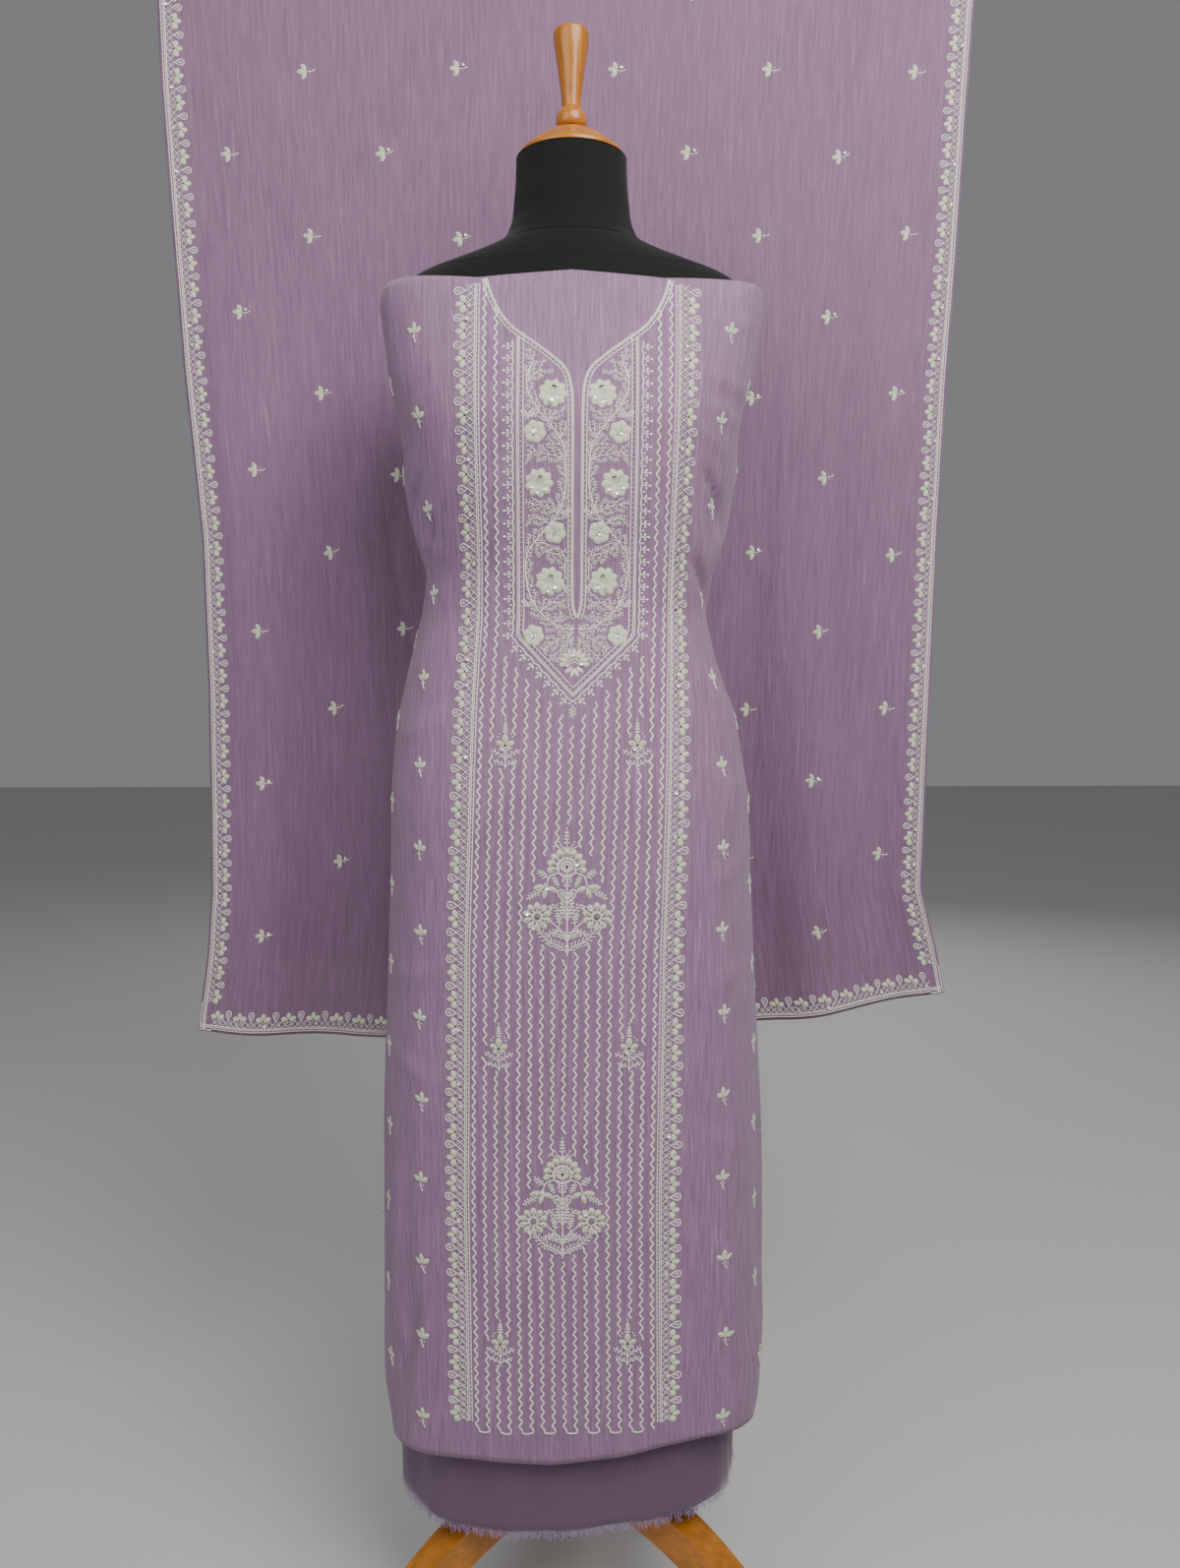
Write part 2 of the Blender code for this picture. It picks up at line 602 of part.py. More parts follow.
def make_base():
    """A flat plate with a slot, open to the front, that the form's back foot stands in."""
    back, front = FORM_Y + BASE_BEHIND, FORM_Y + BASE_FRONT_BEHIND
    slot_end, wide, slot = FORM_Y + BASE_SLOT_END_BEHIND, BASE_WIDTH / 2, BASE_SLOT_WIDTH / 2
    corners = ((-wide, front), (-slot, front), (-slot, slot_end), (slot, slot_end), (slot, front),
               (wide, front), (wide, back), (-wide, back))
    obj = flat_outline("rack_base", corners, BASE_THICKNESS, "grey_steel")
    obj.location = (0, 0, BASE_THICKNESS / 2)
    as_mesh(obj)


clear_scene()
SUIT = collection_named("salwar_kameez_suit")
make_kameez()
make_salwar()
make_salwar_fringe()
make_dupatta()
make_torso()
turned("form_neck_cap", NECK_CAP_PROFILE, "honey_wood", 32)
turned("form_finial", FINIAL_PROFILE, "honey_wood", 20)
turned("form_hub", HUB_PROFILE, "honey_wood", 24)
make_column()
make_legs()
make_rod()
make_post()
make_base()
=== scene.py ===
"""Looks of an unstitched salwar kameez suit shown on a limbless dress form.

An embroidered kameez length is wrapped round the form over a plain violet salwar length, and a sheer
dupatta is folded over the rod of a rack behind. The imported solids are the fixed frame, in metres, +Z up,
with the front facing -Y. Each cloth is worked out as a surface that is read by two flat coordinates:
across, from the middle of the front and + to the right, and along, a height or a length of cloth.
The embroidery is drawn in those coordinates and then laid on the surface.
"""

from collections import namedtuple
from functools import lru_cache
from math import cos, pi, radians, sin

import bmesh
import bpy
import numpy as np
from bpy.props import FloatProperty, FloatVectorProperty, IntProperty, PointerProperty
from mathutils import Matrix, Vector


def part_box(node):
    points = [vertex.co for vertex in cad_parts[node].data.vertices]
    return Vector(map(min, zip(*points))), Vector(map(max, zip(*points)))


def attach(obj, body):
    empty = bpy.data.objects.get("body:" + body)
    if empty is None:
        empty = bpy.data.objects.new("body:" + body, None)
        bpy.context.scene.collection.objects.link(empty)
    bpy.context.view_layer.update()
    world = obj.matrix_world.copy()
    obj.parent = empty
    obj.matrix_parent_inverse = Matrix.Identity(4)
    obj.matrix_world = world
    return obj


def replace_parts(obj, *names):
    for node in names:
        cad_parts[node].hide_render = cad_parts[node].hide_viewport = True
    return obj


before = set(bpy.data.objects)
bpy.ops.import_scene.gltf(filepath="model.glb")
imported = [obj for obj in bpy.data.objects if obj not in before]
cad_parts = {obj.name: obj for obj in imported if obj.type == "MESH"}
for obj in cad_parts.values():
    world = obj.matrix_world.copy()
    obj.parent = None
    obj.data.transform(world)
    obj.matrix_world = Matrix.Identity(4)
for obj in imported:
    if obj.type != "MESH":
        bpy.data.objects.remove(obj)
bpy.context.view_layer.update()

bl_info = {
    "name": "Salwar kameez suit",
    "version": (1, 0, 0),
    "blender": (4, 5, 0),
    "location": "View3D > Sidebar > Suit",
    "description": "Builds the cloths, embroidery, dress form and rack of a salwar kameez suit",
    "category": "Object",
}


# ---------------------------------------------------------------- places read from the frame
def middle_of(node):
    low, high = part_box(node)
    return (low + high) / 2


FORM_Y = middle_of("form_column").y
ROD_Y, ROD_HEIGHT = middle_of("dupatta_rod").y, middle_of("dupatta_rod").z
ROD_RADIUS = (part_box("dupatta_rod")[1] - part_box("dupatta_rod")[0]).z / 2
ROD_LENGTH = (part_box("dupatta_rod")[1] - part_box("dupatta_rod")[0]).x
NECK_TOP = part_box("form_torso")[1].z
TORSO_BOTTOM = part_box("form_torso")[0].z

# ---------------------------------------------------------------- cut sizes of the cloths
KAMEEZ_WIDTH, SALWAR_WIDTH, DUPATTA_WIDTH = 1.12, 1.06, 0.925
SALWAR_TOP = 0.975
LAP, LAP_BLEND = 0.0044, 0.07
ROD_CLEARANCE = 0.0018
FOLD_RADIUS = ROD_RADIUS + ROD_CLEARANCE
FOLD_LENGTH = pi * FOLD_RADIUS

# ---------------------------------------------------------------- level sections
# Reaches are from the form's axis; squareness 2 is an ellipse and more is boxier.
Ring = namedtuple("Ring", "height left right front back squareness")

KAMEEZ_RINGS = (
    Ring(1.372, 0.180, 0.184, 0.083, 0.078, 2.9), Ring(1.355, 0.186, 0.188, 0.090, 0.082, 2.9),
    Ring(1.280, 0.177, 0.174, 0.112, 0.090, 2.7), Ring(1.230, 0.166, 0.162, 0.123, 0.094, 2.5),
    Ring(1.165, 0.154, 0.150, 0.120, 0.092, 2.3), Ring(1.095, 0.141, 0.136, 0.107, 0.089, 2.3),
    Ring(1.055, 0.148, 0.130, 0.104, 0.090, 2.3), Ring(1.005, 0.163, 0.146, 0.108, 0.098, 2.4),
    Ring(0.950, 0.175, 0.165, 0.116, 0.109, 2.5), Ring(0.880, 0.181, 0.177, 0.124, 0.119, 2.6),
    Ring(0.800, 0.183, 0.180, 0.127, 0.122, 2.6), Ring(0.625, 0.189, 0.188, 0.127, 0.123, 2.7),
    Ring(0.400, 0.193, 0.192, 0.125, 0.121, 2.9), Ring(0.270, 0.196, 0.192, 0.124, 0.120, 3.1),
    Ring(0.230, 0.191, 0.186, 0.122, 0.118, 3.2), Ring(0.205, 0.186, 0.181, 0.120, 0.116, 3.2),
)
SALWAR_RINGS = (
    Ring(0.980, 0.150, 0.140, 0.096, 0.090, 2.3), Ring(0.930, 0.163, 0.157, 0.103, 0.099, 2.4),
    Ring(0.870, 0.169, 0.166, 0.111, 0.107, 2.5), Ring(0.700, 0.172, 0.170, 0.112, 0.109, 2.6),
    Ring(0.400, 0.173, 0.170, 0.111, 0.108, 2.7), Ring(0.240, 0.174, 0.169, 0.108, 0.106, 2.7),
    Ring(0.140, 0.176, 0.169, 0.107, 0.105, 2.7),
)
TORSO_RINGS = (
    Ring(NECK_TOP, 0.0535, 0.0535, 0.0535, 0.0535, 2.0), Ring(1.470, 0.0545, 0.0545, 0.0545, 0.0545, 2.0),
    Ring(1.435, 0.0580, 0.0580, 0.0570, 0.0570, 2.0), Ring(1.416, 0.0660, 0.0660, 0.0600, 0.0590, 2.0),
    Ring(1.404, 0.0900, 0.0900, 0.0630, 0.0600, 2.1), Ring(1.393, 0.1230, 0.1230, 0.0660, 0.0610, 2.2),
    Ring(1.382, 0.1530, 0.1550, 0.0690, 0.0630, 2.3), Ring(1.368, 0.1690, 0.1700, 0.0740, 0.0670, 2.4),
    Ring(1.345, 0.1740, 0.1740, 0.0830, 0.0730, 2.4), Ring(1.290, 0.1680, 0.1660, 0.1010, 0.0800, 2.4),
    Ring(1.220, 0.1540, 0.1510, 0.1140, 0.0830, 2.3), Ring(1.150, 0.1380, 0.1350, 0.1060, 0.0800, 2.2),
    Ring(1.080, 0.1260, 0.1200, 0.0930, 0.0760, 2.2), Ring(1.040, 0.1260, 0.1180, 0.0880, 0.0760, 2.2),
    Ring(0.980, 0.1380, 0.1290, 0.0880, 0.0800, 2.2), Ring(0.900, 0.1560, 0.1530, 0.0980, 0.0940, 2.3),
    Ring(0.830, 0.1610, 0.1590, 0.1020, 0.0990, 2.3), Ring(0.760, 0.1570, 0.1560, 0.0990, 0.0970, 2.3),
    Ring(TORSO_BOTTOM, 0.1480, 0.1470, 0.0920, 0.0910, 2.3),
)

# A fold runs from (across, top) down to (across + lean, bottom). A plus rise is a ridge, a minus a trough.
Fold = namedtuple("Fold", "across top bottom lean rise width")

KAMEEZ_FOLDS = (
    Fold(-0.205, 1.190, 1.110, 0.010, 0.008, 0.034), Fold(0.200, 1.200, 1.130, -0.008, 0.007, 0.034),
    Fold(0.185, 1.115, 1.060, -0.004, 0.008, 0.032), Fold(-0.150, 0.400, 0.245, -0.055, -0.007, 0.030),
    Fold(0.205, 0.340, 0.245, -0.030, 0.006, 0.034), Fold(-0.330, 1.160, 0.980, 0.030, -0.007, 0.034),
    Fold(0.330, 1.120, 0.960, -0.025, -0.006, 0.034), Fold(-0.270, 0.620, 0.260, -0.020, 0.006, 0.040),
    Fold(0.285, 0.700, 0.300, 0.025, 0.005, 0.040),
)
SALWAR_FOLDS = (
    Fold(0.022, 0.420, 0.150, 0.004, -0.004, 0.030), Fold(-0.230, 0.600, 0.150, 0.010, 0.006, 0.036),
    Fold(0.260, 0.560, 0.150, 0.012, 0.005, 0.036),
)

# A crease starts at (across, along), runs reach sideways and drop downwards, and bows sideways between.
Crease = namedtuple("Crease", "across along reach drop bow rise width")

KAMEEZ_CREASES = (
    # the left side's leaf-shaped fold over the waist, and the line that runs down to its narrowest point
    Crease(-0.158, 1.186, -0.016, 0.074, -0.020, -0.0046, 0.0048),
    Crease(-0.146, 1.150, -0.024, 0.050, 0.006, -0.0034, 0.0042),
    Crease(-0.176, 1.176, 0.004, 0.054, -0.010, 0.0026, 0.0085),
    # the right side's two crescents
    Crease(0.126, 1.189, 0.030, 0.066, 0.020, -0.0046, 0.0052),
    Crease(0.118, 1.106, 0.034, 0.050, 0.016, -0.0046, 0.0052),
    Crease(0.120, 1.158, 0.012, 0.062, 0.004, 0.0020, 0.0075),
    # drag lines from the right border to the side
    Crease(0.118, 1.272, 0.092, 0.012, 0.005, 0.0016, 0.0045),
    Crease(0.120, 1.246, 0.070, 0.014, 0.004, 0.0013, 0.004),
    Crease(0.122, 1.322, 0.080, -0.004, 0.003, 0.0010, 0.005),
    Crease(0.117, 1.222, 0.046, 0.020, 0.006, 0.0013, 0.0045),
    Crease(-0.122, 1.262, -0.050, 0.034, -0.004, 0.0011, 0.006),
    Crease(-0.124, 1.110, -0.052, -0.014, 0.0, 0.0012, 0.005),
    # pulls at the hip and thigh
    Crease(0.124, 0.985, 0.080, 0.020, 0.004, 0.0014, 0.008),
    Crease(0.126, 0.905, 0.088, 0.028, 0.006, 0.0012, 0.009),
    Crease(0.130, 0.800, 0.090, -0.034, 0.006, 0.0012, 0.009),
    Crease(0.122, 0.700, 0.094, -0.026, 0.004, 0.0010, 0.010),
    Crease(-0.126, 0.720, -0.070, 0.016, 0.004, 0.0011, 0.009),
    Crease(-0.130, 0.610, -0.078, -0.022, 0.004, 0.0011, 0.010),
    Crease(-0.126, 0.960, -0.060, 0.024, 0.003, 0.0012, 0.009),
    Crease(0.120, 0.560, 0.096, 0.040, 0.006, 0.0012, 0.010),
    # long soft lines towards the hem
    Crease(-0.148, 0.470, -0.020, 0.190, 0.006, 0.0026, 0.010),
    Crease(-0.186, 0.560, -0.010, 0.290, 0.004, 0.0022, 0.011),
    Crease(0.150, 0.520, 0.024, 0.250, -0.006, 0.0024, 0.011),
    Crease(0.224, 0.640, 0.006, 0.360, 0.006, 0.0026, 0.012),
    Crease(0.060, 0.330, 0.030, 0.080, 0.004, 0.0012, 0.012),
    Crease(-0.050, 0.330, -0.012, 0.085, 0.003, 0.0010, 0.012),
    # the hidden sides and the back
    Crease(-0.300, 1.210, 0.036, 0.090, -0.012, -0.0040, 0.008),
    Crease(-0.380, 1.180, 0.030, 0.110, 0.010, 0.0030, 0.010),
    Crease(-0.470, 1.150, 0.026, 0.120, 0.008, -0.0026, 0.010),
    Crease(0.292, 1.200, -0.032, 0.100, 0.012, -0.0038, 0.008),
    Crease(0.372, 1.160, -0.030, 0.120, -0.010, 0.0028, 0.010),
    Crease(0.462, 1.190, -0.020, 0.110, 0.006, -0.0024, 0.010),
    Crease(-0.260, 1.290, -0.120, 0.030, -0.008, 0.0014, 0.008),
    Crease(0.268, 1.285, 0.130, 0.026, 0.008, 0.0013, 0.008),
    Crease(-0.300, 0.900, -0.090, 0.060, 0.010, 0.0016, 0.012),
    Crease(0.310, 0.870, 0.080, 0.070, -0.010, 0.0016, 0.012),
    Crease(-0.340, 0.560, -0.020, 0.290, 0.010, 0.0034, 0.014),
    Crease(-0.425, 0.660, -0.010, 0.390, -0.008, -0.0030, 0.015),
    Crease(-0.500, 0.500, 0.010, 0.230, 0.006, 0.0026, 0.014),
    Crease(0.350, 0.600, 0.024, 0.330, 0.010, 0.0034, 0.014),
    Crease(0.432, 0.540, 0.010, 0.280, -0.010, -0.0030, 0.015),
    Crease(0.505, 0.640, -0.008, 0.370, 0.006, 0.0026, 0.014),
)
SALWAR_CREASES = (
    Crease(-0.110, 0.300, -0.012, 0.140, 0.004, 0.0022, 0.012),
    Crease(0.100, 0.330, 0.016, 0.165, -0.004, 0.0024, 0.012),
    Crease(-0.170, 0.420, -0.006, 0.260, 0.006, -0.0026, 0.014),
    Crease(0.190, 0.450, 0.008, 0.280, 0.004, -0.0026, 0.014),
    Crease(-0.320, 0.540, 0.014, 0.370, 0.008, 0.0030, 0.016),
    Crease(-0.420, 0.460, -0.010, 0.290, -0.006, -0.0030, 0.016),
    Crease(0.340, 0.520, -0.012, 0.350, 0.008, 0.0030, 0.016),
    Crease(0.440, 0.600, 0.010, 0.430, -0.006, -0.0030, 0.016),
)
DUPATTA_CREASES = (
    Crease(-0.418, 1.560 - ROD_HEIGHT, 0.012, 0.700, -0.010, 0.0030, 0.010),
    Crease(-0.352, 1.700 - ROD_HEIGHT, -0.008, 0.900, 0.008, -0.0024, 0.011),
    Crease(-0.262, 1.500 - ROD_HEIGHT, 0.010, 0.600, -0.006, 0.0022, 0.010),
    Crease(-0.225, 1.300 - ROD_HEIGHT, -0.006, 0.560, 0.004, -0.0020, 0.010),
    Crease(0.262, 1.620 - ROD_HEIGHT, -0.010, 0.800, 0.008, 0.0024, 0.010),
    Crease(0.335, 1.420 - ROD_HEIGHT, 0.014, 0.640, -0.008, -0.0024, 0.011),
    Crease(0.372, 1.240 - ROD_HEIGHT, -0.010, 0.520, 0.006, 0.0026, 0.010),
    Crease(0.428, 1.500 - ROD_HEIGHT, 0.010, 0.700, 0.006, 0.0028, 0.011),
    Crease(-0.120, FOLD_LENGTH + 0.900, 0.010, 0.700, 0.008, 0.0026, 0.012),
    Crease(0.080, FOLD_LENGTH + 1.000, -0.012, 0.760, -0.008, -0.0026, 0.012),
    Crease(0.250, FOLD_LENGTH + 1.050, 0.010, 0.800, 0.006, 0.0024, 0.012),
    Crease(-0.290, FOLD_LENGTH + 1.060, 0.012, 0.820, -0.008, -0.0024, 0.012),
)

# Edges, by distance across from the middle of the front.
Edge = namedtuple("Edge", "across height")

KAMEEZ_TOP_EDGE = (
    Edge(-0.560, 1.362), Edge(-0.220, 1.368), Edge(-0.150, 1.365), Edge(-0.085, 1.358), Edge(0.0, 1.365),
    Edge(0.085, 1.358), Edge(0.150, 1.362), Edge(0.220, 1.367), Edge(0.560, 1.362),
)
KAMEEZ_HEM = (
    Edge(-0.560, 0.224), Edge(-0.330, 0.210), Edge(-0.285, 0.209), Edge(-0.240, 0.218), Edge(-0.170, 0.234),
    Edge(-0.095, 0.239), Edge(-0.020, 0.235), Edge(0.045, 0.242), Edge(0.090, 0.252), Edge(0.130, 0.255),
    Edge(0.180, 0.251), Edge(0.240, 0.238), Edge(0.290, 0.228), Edge(0.340, 0.226), Edge(0.560, 0.224),
)
SALWAR_HEM = (
    Edge(-0.530, 0.158), Edge(-0.210, 0.156), Edge(-0.130, 0.153), Edge(-0.020, 0.154), Edge(0.060, 0.161),
    Edge(0.150, 0.168), Edge(0.260, 0.166), Edge(0.530, 0.158),
)
FRONT_DUPATTA_HEM = (
    Edge(-0.4625, 0.579), Edge(-0.270, 0.569), Edge(0.150, 0.578), Edge(0.270, 0.589), Edge(0.360, 0.604),
    Edge(0.4625, 0.620),
)
BACK_DUPATTA_HEM = (
    Edge(-0.4625, 0.654), Edge(-0.300, 0.642), Edge(0.200, 0.659), Edge(0.350, 0.664), Edge(0.400, 0.672),
    Edge(0.4625, 0.700),
)

# Side edges of the dupatta's two hanging layers, as reaches from the middle.
Drop = namedtuple("Drop", "height left right")

FRONT_DROP = (
    Drop(1.810, 0.4600, 0.4540), Drop(1.650, 0.4570, 0.4460), Drop(1.480, 0.4480, 0.4380),
    Drop(1.340, 0.4400, 0.4300), Drop(1.150, 0.4230, 0.4220), Drop(0.980, 0.4190, 0.4170),
    Drop(0.840, 0.4200, 0.4140), Drop(0.745, 0.4220, 0.4130), Drop(0.670, 0.4290, 0.4330),
    Drop(0.600, 0.4400, 0.4480), Drop(0.560, 0.4440, 0.4500),
)
BACK_DROP = (
    Drop(1.810, 0.4600, 0.4540), Drop(1.480, 0.4500, 0.4380), Drop(1.150, 0.4330, 0.4080),
    Drop(0.950, 0.4280, 0.3850), Drop(0.817, 0.4290, 0.3640), Drop(0.745, 0.4310, 0.3480),
    Drop(0.640, 0.4330, 0.3350),
)

# Hanging pleats: start is the height where each begins.
Pleat = namedtuple("Pleat", "across width rise start")

FRONT_PLEATS = (
    Pleat(-0.400, 0.050, 0.011, 1.45), Pleat(-0.300, 0.055, -0.009, 1.30), Pleat(-0.170, 0.060, 0.008, 1.55),
    Pleat(-0.040, 0.055, -0.007, 1.25), Pleat(0.090, 0.050, 0.008, 1.50), Pleat(0.210, 0.055, -0.009, 1.35),
    Pleat(0.310, 0.045, 0.010, 1.20), Pleat(0.400, 0.045, -0.010, 1.05),
)
BACK_PLEATS = (
    Pleat(-0.370, 0.060, 0.010, 1.40), Pleat(-0.200, 0.055, -0.008, 1.25), Pleat(-0.020, 0.065, 0.009, 1.50),
    Pleat(0.160, 0.055, -0.008, 1.20), Pleat(0.320, 0.055, 0.010, 1.35),
)
LAYER_SPREAD, SPREAD_SHARE, PLEAT_GROWTH = 0.020, 0.625, 0.45

# ---------------------------------------------------------------- dress form and rack
Turn = namedtuple("Turn", "radius height")

FINIAL_PROFILE = (
    Turn(0.0, 1.6158), Turn(0.0120, 1.6157), Turn(0.0152, 1.6150), Turn(0.0168, 1.6132),
    Turn(0.0172, 1.6090), Turn(0.0165, 1.6000), Turn(0.0140, 1.5840), Turn(0.0109, 1.5630),
    Turn(0.0090, 1.5460), Turn(0.0092, 1.5436), Turn(0.0122, 1.5402), Turn(0.0144, 1.5366),
    Turn(0.0151, 1.5320), Turn(0.0149, 1.5285), Turn(0.0137, 1.5256), Turn(0.0110, 1.5242),
    Turn(0.0, 1.5240),
)
NECK_CAP_PROFILE = (
    Turn(0.0, 1.5237), Turn(0.0080, 1.5235), Turn(0.0140, 1.5226), Turn(0.0270, 1.5175), Turn(0.0400, 1.5088),
    Turn(0.0475, 1.5024), Turn(0.0503, 1.4995), Turn(0.0510, 1.4978), Turn(0.0508, NECK_TOP + 0.0010),
    Turn(0.0502, NECK_TOP + 0.0003), Turn(0.0, NECK_TOP + 0.0003),
)
HUB_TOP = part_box("form_hub")[1].z
HUB_PROFILE = (
    Turn(0.0, HUB_TOP), Turn(0.0175, HUB_TOP), Turn(0.0188, 0.1893), Turn(0.0230, 0.1860),
    Turn(0.0290, 0.1800), Turn(0.0322, 0.1760), Turn(0.0329, 0.1735), Turn(0.0329, 0.1180),
    Turn(0.0320, 0.1155), Turn(0.0290, 0.1115), Turn(0.0204, 0.1055), Turn(0.0190, 0.1050),
    Turn(0.0, 0.1050),
)
NECK_SEAM_HEIGHT = 1.411
COLUMN_RADIUS = 0.0125

LEG_REACH, LEG_THICKNESS, LEG_DEPTH, LEG_FOOT_TAPER, LEG_CHAMFER = 0.272, 0.034, 0.038, 0.16, 0.004
LEG_ROOT, LEG_CROWN, LEG_TIP = (0.0333, 0.150), (0.172, 0.126), (0.258, -0.016)
LEG_STEPS, LEG_LEAST_EDGE = 36, 0.0012
LEG_TURNS = {"left": radians(210), "right": radians(330), "back": radians(90)}

POST_RADIUS, POST_HEAD_GAP = 0.009, 0.0008
POST_FOOT_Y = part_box("rack_post")[1].y - POST_RADIUS
POST_BEND_LOW, POST_BEND_HIGH, POST_BEND_STEPS = 0.16, 0.52, 28
BASE_SLOT_WIDTH, BASE_SLOT_END_Y = 0.064, FORM_Y + 0.305

# ---------------------------------------------------------------- layout of the embroidery
PANEL_TOP, PANEL_BOTTOM = 1.3560, 0.272
PANEL_MIDDLE = (
    Edge(-0.0080, 0.26), Edge(-0.0100, 0.50), Edge(-0.0072, 0.74), Edge(-0.0030, 0.86), Edge(0.0005, 0.98),
    Edge(0.0042, 1.05), Edge(0.0060, 1.36),
)
ZIGZAG_LINES, ZIGZAG_GAP = 17, 0.0106
ZIGZAG_PERIOD, ZIGZAG_REACH = 0.0093, 0.0014
BORDER_BASE = 0.1030
BORDER_END = 0.279
YOKE_HALF, YOKE_TOP, YOKE_SHOULDER, YOKE_POINT = 0.0545, 1.303, 1.033, 0.978
TRAIL_OFFSET = 0.0085  # the leafy trail runs this far outside the yoke's frame
BOOTA_ACROSS = 0.061

# Motifs inside the panel: across is from the panel's middle.
Motif = namedtuple("Motif", "kind across height")

BOOTAS = (
    Motif("small", -BOOTA_ACROSS, 0.935), Motif("small", BOOTA_ACROSS, 0.935), Motif("large", 0.0, 0.798),
    Motif("small", -BOOTA_ACROSS, 0.652), Motif("small", BOOTA_ACROSS, 0.652), Motif("large", 0.0, 0.505),
    Motif("small", -BOOTA_ACROSS, 0.361), Motif("small", BOOTA_ACROSS, 0.361),
)
# Half the width that each kind of boota keeps clear of zigzags, by height from its middle.
Clear = namedtuple("Clear", "height half")

BOOTA_CLEAR = {
    "large": (
        Clear(-0.064, 0.000), Clear(-0.060, 0.005), Clear(-0.046, 0.027), Clear(-0.036, 0.031),
        Clear(-0.012, 0.042), Clear(0.006, 0.035), Clear(0.016, 0.027), Clear(0.034, 0.022),
        Clear(0.044, 0.010), Clear(0.060, 0.003), Clear(0.064, 0.000),
    ),
    "small": (
        Clear(-0.028, 0.000), Clear(-0.024, 0.003), Clear(-0.011, 0.014), Clear(-0.004, 0.014),
        Clear(0.004, 0.013), Clear(0.010, 0.006), Clear(0.024, 0.003), Clear(0.028, 0.000),
    ),
}
BUTI_FIRST, BUTI_COLUMN_GAP, BUTI_COLUMNS, BUTI_STEP = 0.150, 0.056, 8, 0.080
DUPATTA_BORDER = 0.0170  # selvedge to the line that the border's flowers stand on
DUPATTA_BUTI_FIRST, DUPATTA_BUTI_GAP, DUPATTA_BUTI_COLUMNS = -0.388, 0.088, 10
DUPATTA_BUTI_STEP, DUPATTA_BUTI_HEIGHT = 0.0885, 1.402

CREASE_GAIN = 1.7
RANDOM_SEED = 7


# ---------------------------------------------------------------- reading the tables
def ease(value):
    """0 below 0, 1 above 1, and a smooth step between."""
    value = np.clip(value, 0.0, 1.0)
    return value * value * (3.0 - 2.0 * value)


def read_table(table, key, column, at):
    rows = sorted(table, key=lambda row: getattr(row, key))
    return np.interp(at, [getattr(row, key) for row in rows], [getattr(row, column) for row in rows])


def read_edge(table, across):
    return read_table(table, "across", "height", across)


def panel_middle(height):
    """Where the embroidered panel's middle line lies, which drifts a little down the cloth."""
    return np.interp(height, [row.height for row in PANEL_MIDDLE], [row.across for row in PANEL_MIDDLE])


class Sections:
    """A table of level sections read at any height, with the breaks at its rows eased out."""

    STEP = 0.002

    def __init__(self, table, ease_over):
        low, high = min(row.height for row in table), max(row.height for row in table)
        self.heights = np.arange(low, high + self.STEP, self.STEP)
        reach = max(1, int(ease_over / self.STEP))
        kernel = np.hanning(2 * reach + 3)[1:-1]
        self.columns = {}
        for name in Ring._fields[1:]:
            values = read_table(table, "height", name, self.heights)
            ends = 2 * values[0] - values[reach:0:-1], 2 * values[-1] - values[-2:-reach - 2:-1]
            padded = np.concatenate([ends[0], values, ends[1]])
            self.columns[name] = np.convolve(padded, kernel / kernel.sum(), mode="valid")

    def ring(self, height):
        return Ring(height, *(float(np.interp(height, self.heights, self.columns[name]))
                              for name in Ring._fields[1:]))


def outline(ring, count):
    """count points round a section, anticlockwise from the middle of its front."""
    angles = np.linspace(-pi / 2, 1.5 * pi, count)
    power = 2.0 / ring.squareness
    side = np.sign(np.cos(angles)) * np.abs(np.cos(angles)) ** power
    deep = np.sign(np.sin(angles)) * np.abs(np.sin(angles)) ** power
    return np.column_stack([np.where(side > 0, ring.right, ring.left) * side,
                            np.where(deep > 0, ring.back, ring.front) * deep])


def round_section(ring, across, width):
    """(points, outward normals, share of the way into the lap) along a section, in plan."""
    points = outline(ring, 721)
    lengths = np.concatenate([[0.0], np.cumsum(np.linalg.norm(np.diff(points, axis=0), axis=1))])
    girth = lengths[-1]

    def at(run):
        return np.column_stack([np.interp(run % girth, lengths, points[:, axis]) for axis in (0, 1)])

    along = at(across + 0.004) - at(across - 0.004)
    along /= np.linalg.norm(along, axis=1, keepdims=True)
    layer = ease((np.abs(across) - (girth - width / 2 - LAP_BLEND)) / LAP_BLEND)
    return at(across), np.column_stack([along[:, 1], -along[:, 0]]), layer


# ---------------------------------------------------------------- cloth surfaces
class ClothSurface:
    """A cloth's middle surface on a grid of flat coordinates, read anywhere between its points."""

    def __init__(self, across, along, points):
        self.across, self.along, self.points = across, along, points
        steps = np.cross(np.gradient(points, across, axis=1), np.gradient(points, along, axis=0))
        self.normals = steps / np.linalg.norm(steps, axis=2, keepdims=True)

    def place(self, across, along, lift=0.0):
        column, u = self.cell(self.across, across)
        row, v = self.cell(self.along, along)
        corners = ((row, column, (1 - u) * (1 - v)), (row, column + 1, u * (1 - v)),
                   (row + 1, column, (1 - u) * v), (row + 1, column + 1, u * v))
        point = sum(self.points[i, j] * share[..., None] for i, j, share in corners)
        normal = sum(self.normals[i, j] * share[..., None] for i, j, share in corners)
        return point + normal * np.asarray(lift)[..., None]

    @staticmethod
    def cell(grid, at):
        index = np.clip(np.searchsorted(grid, at) - 1, 0, len(grid) - 2)
        return index, (at - grid[index]) / (grid[index + 1] - grid[index])


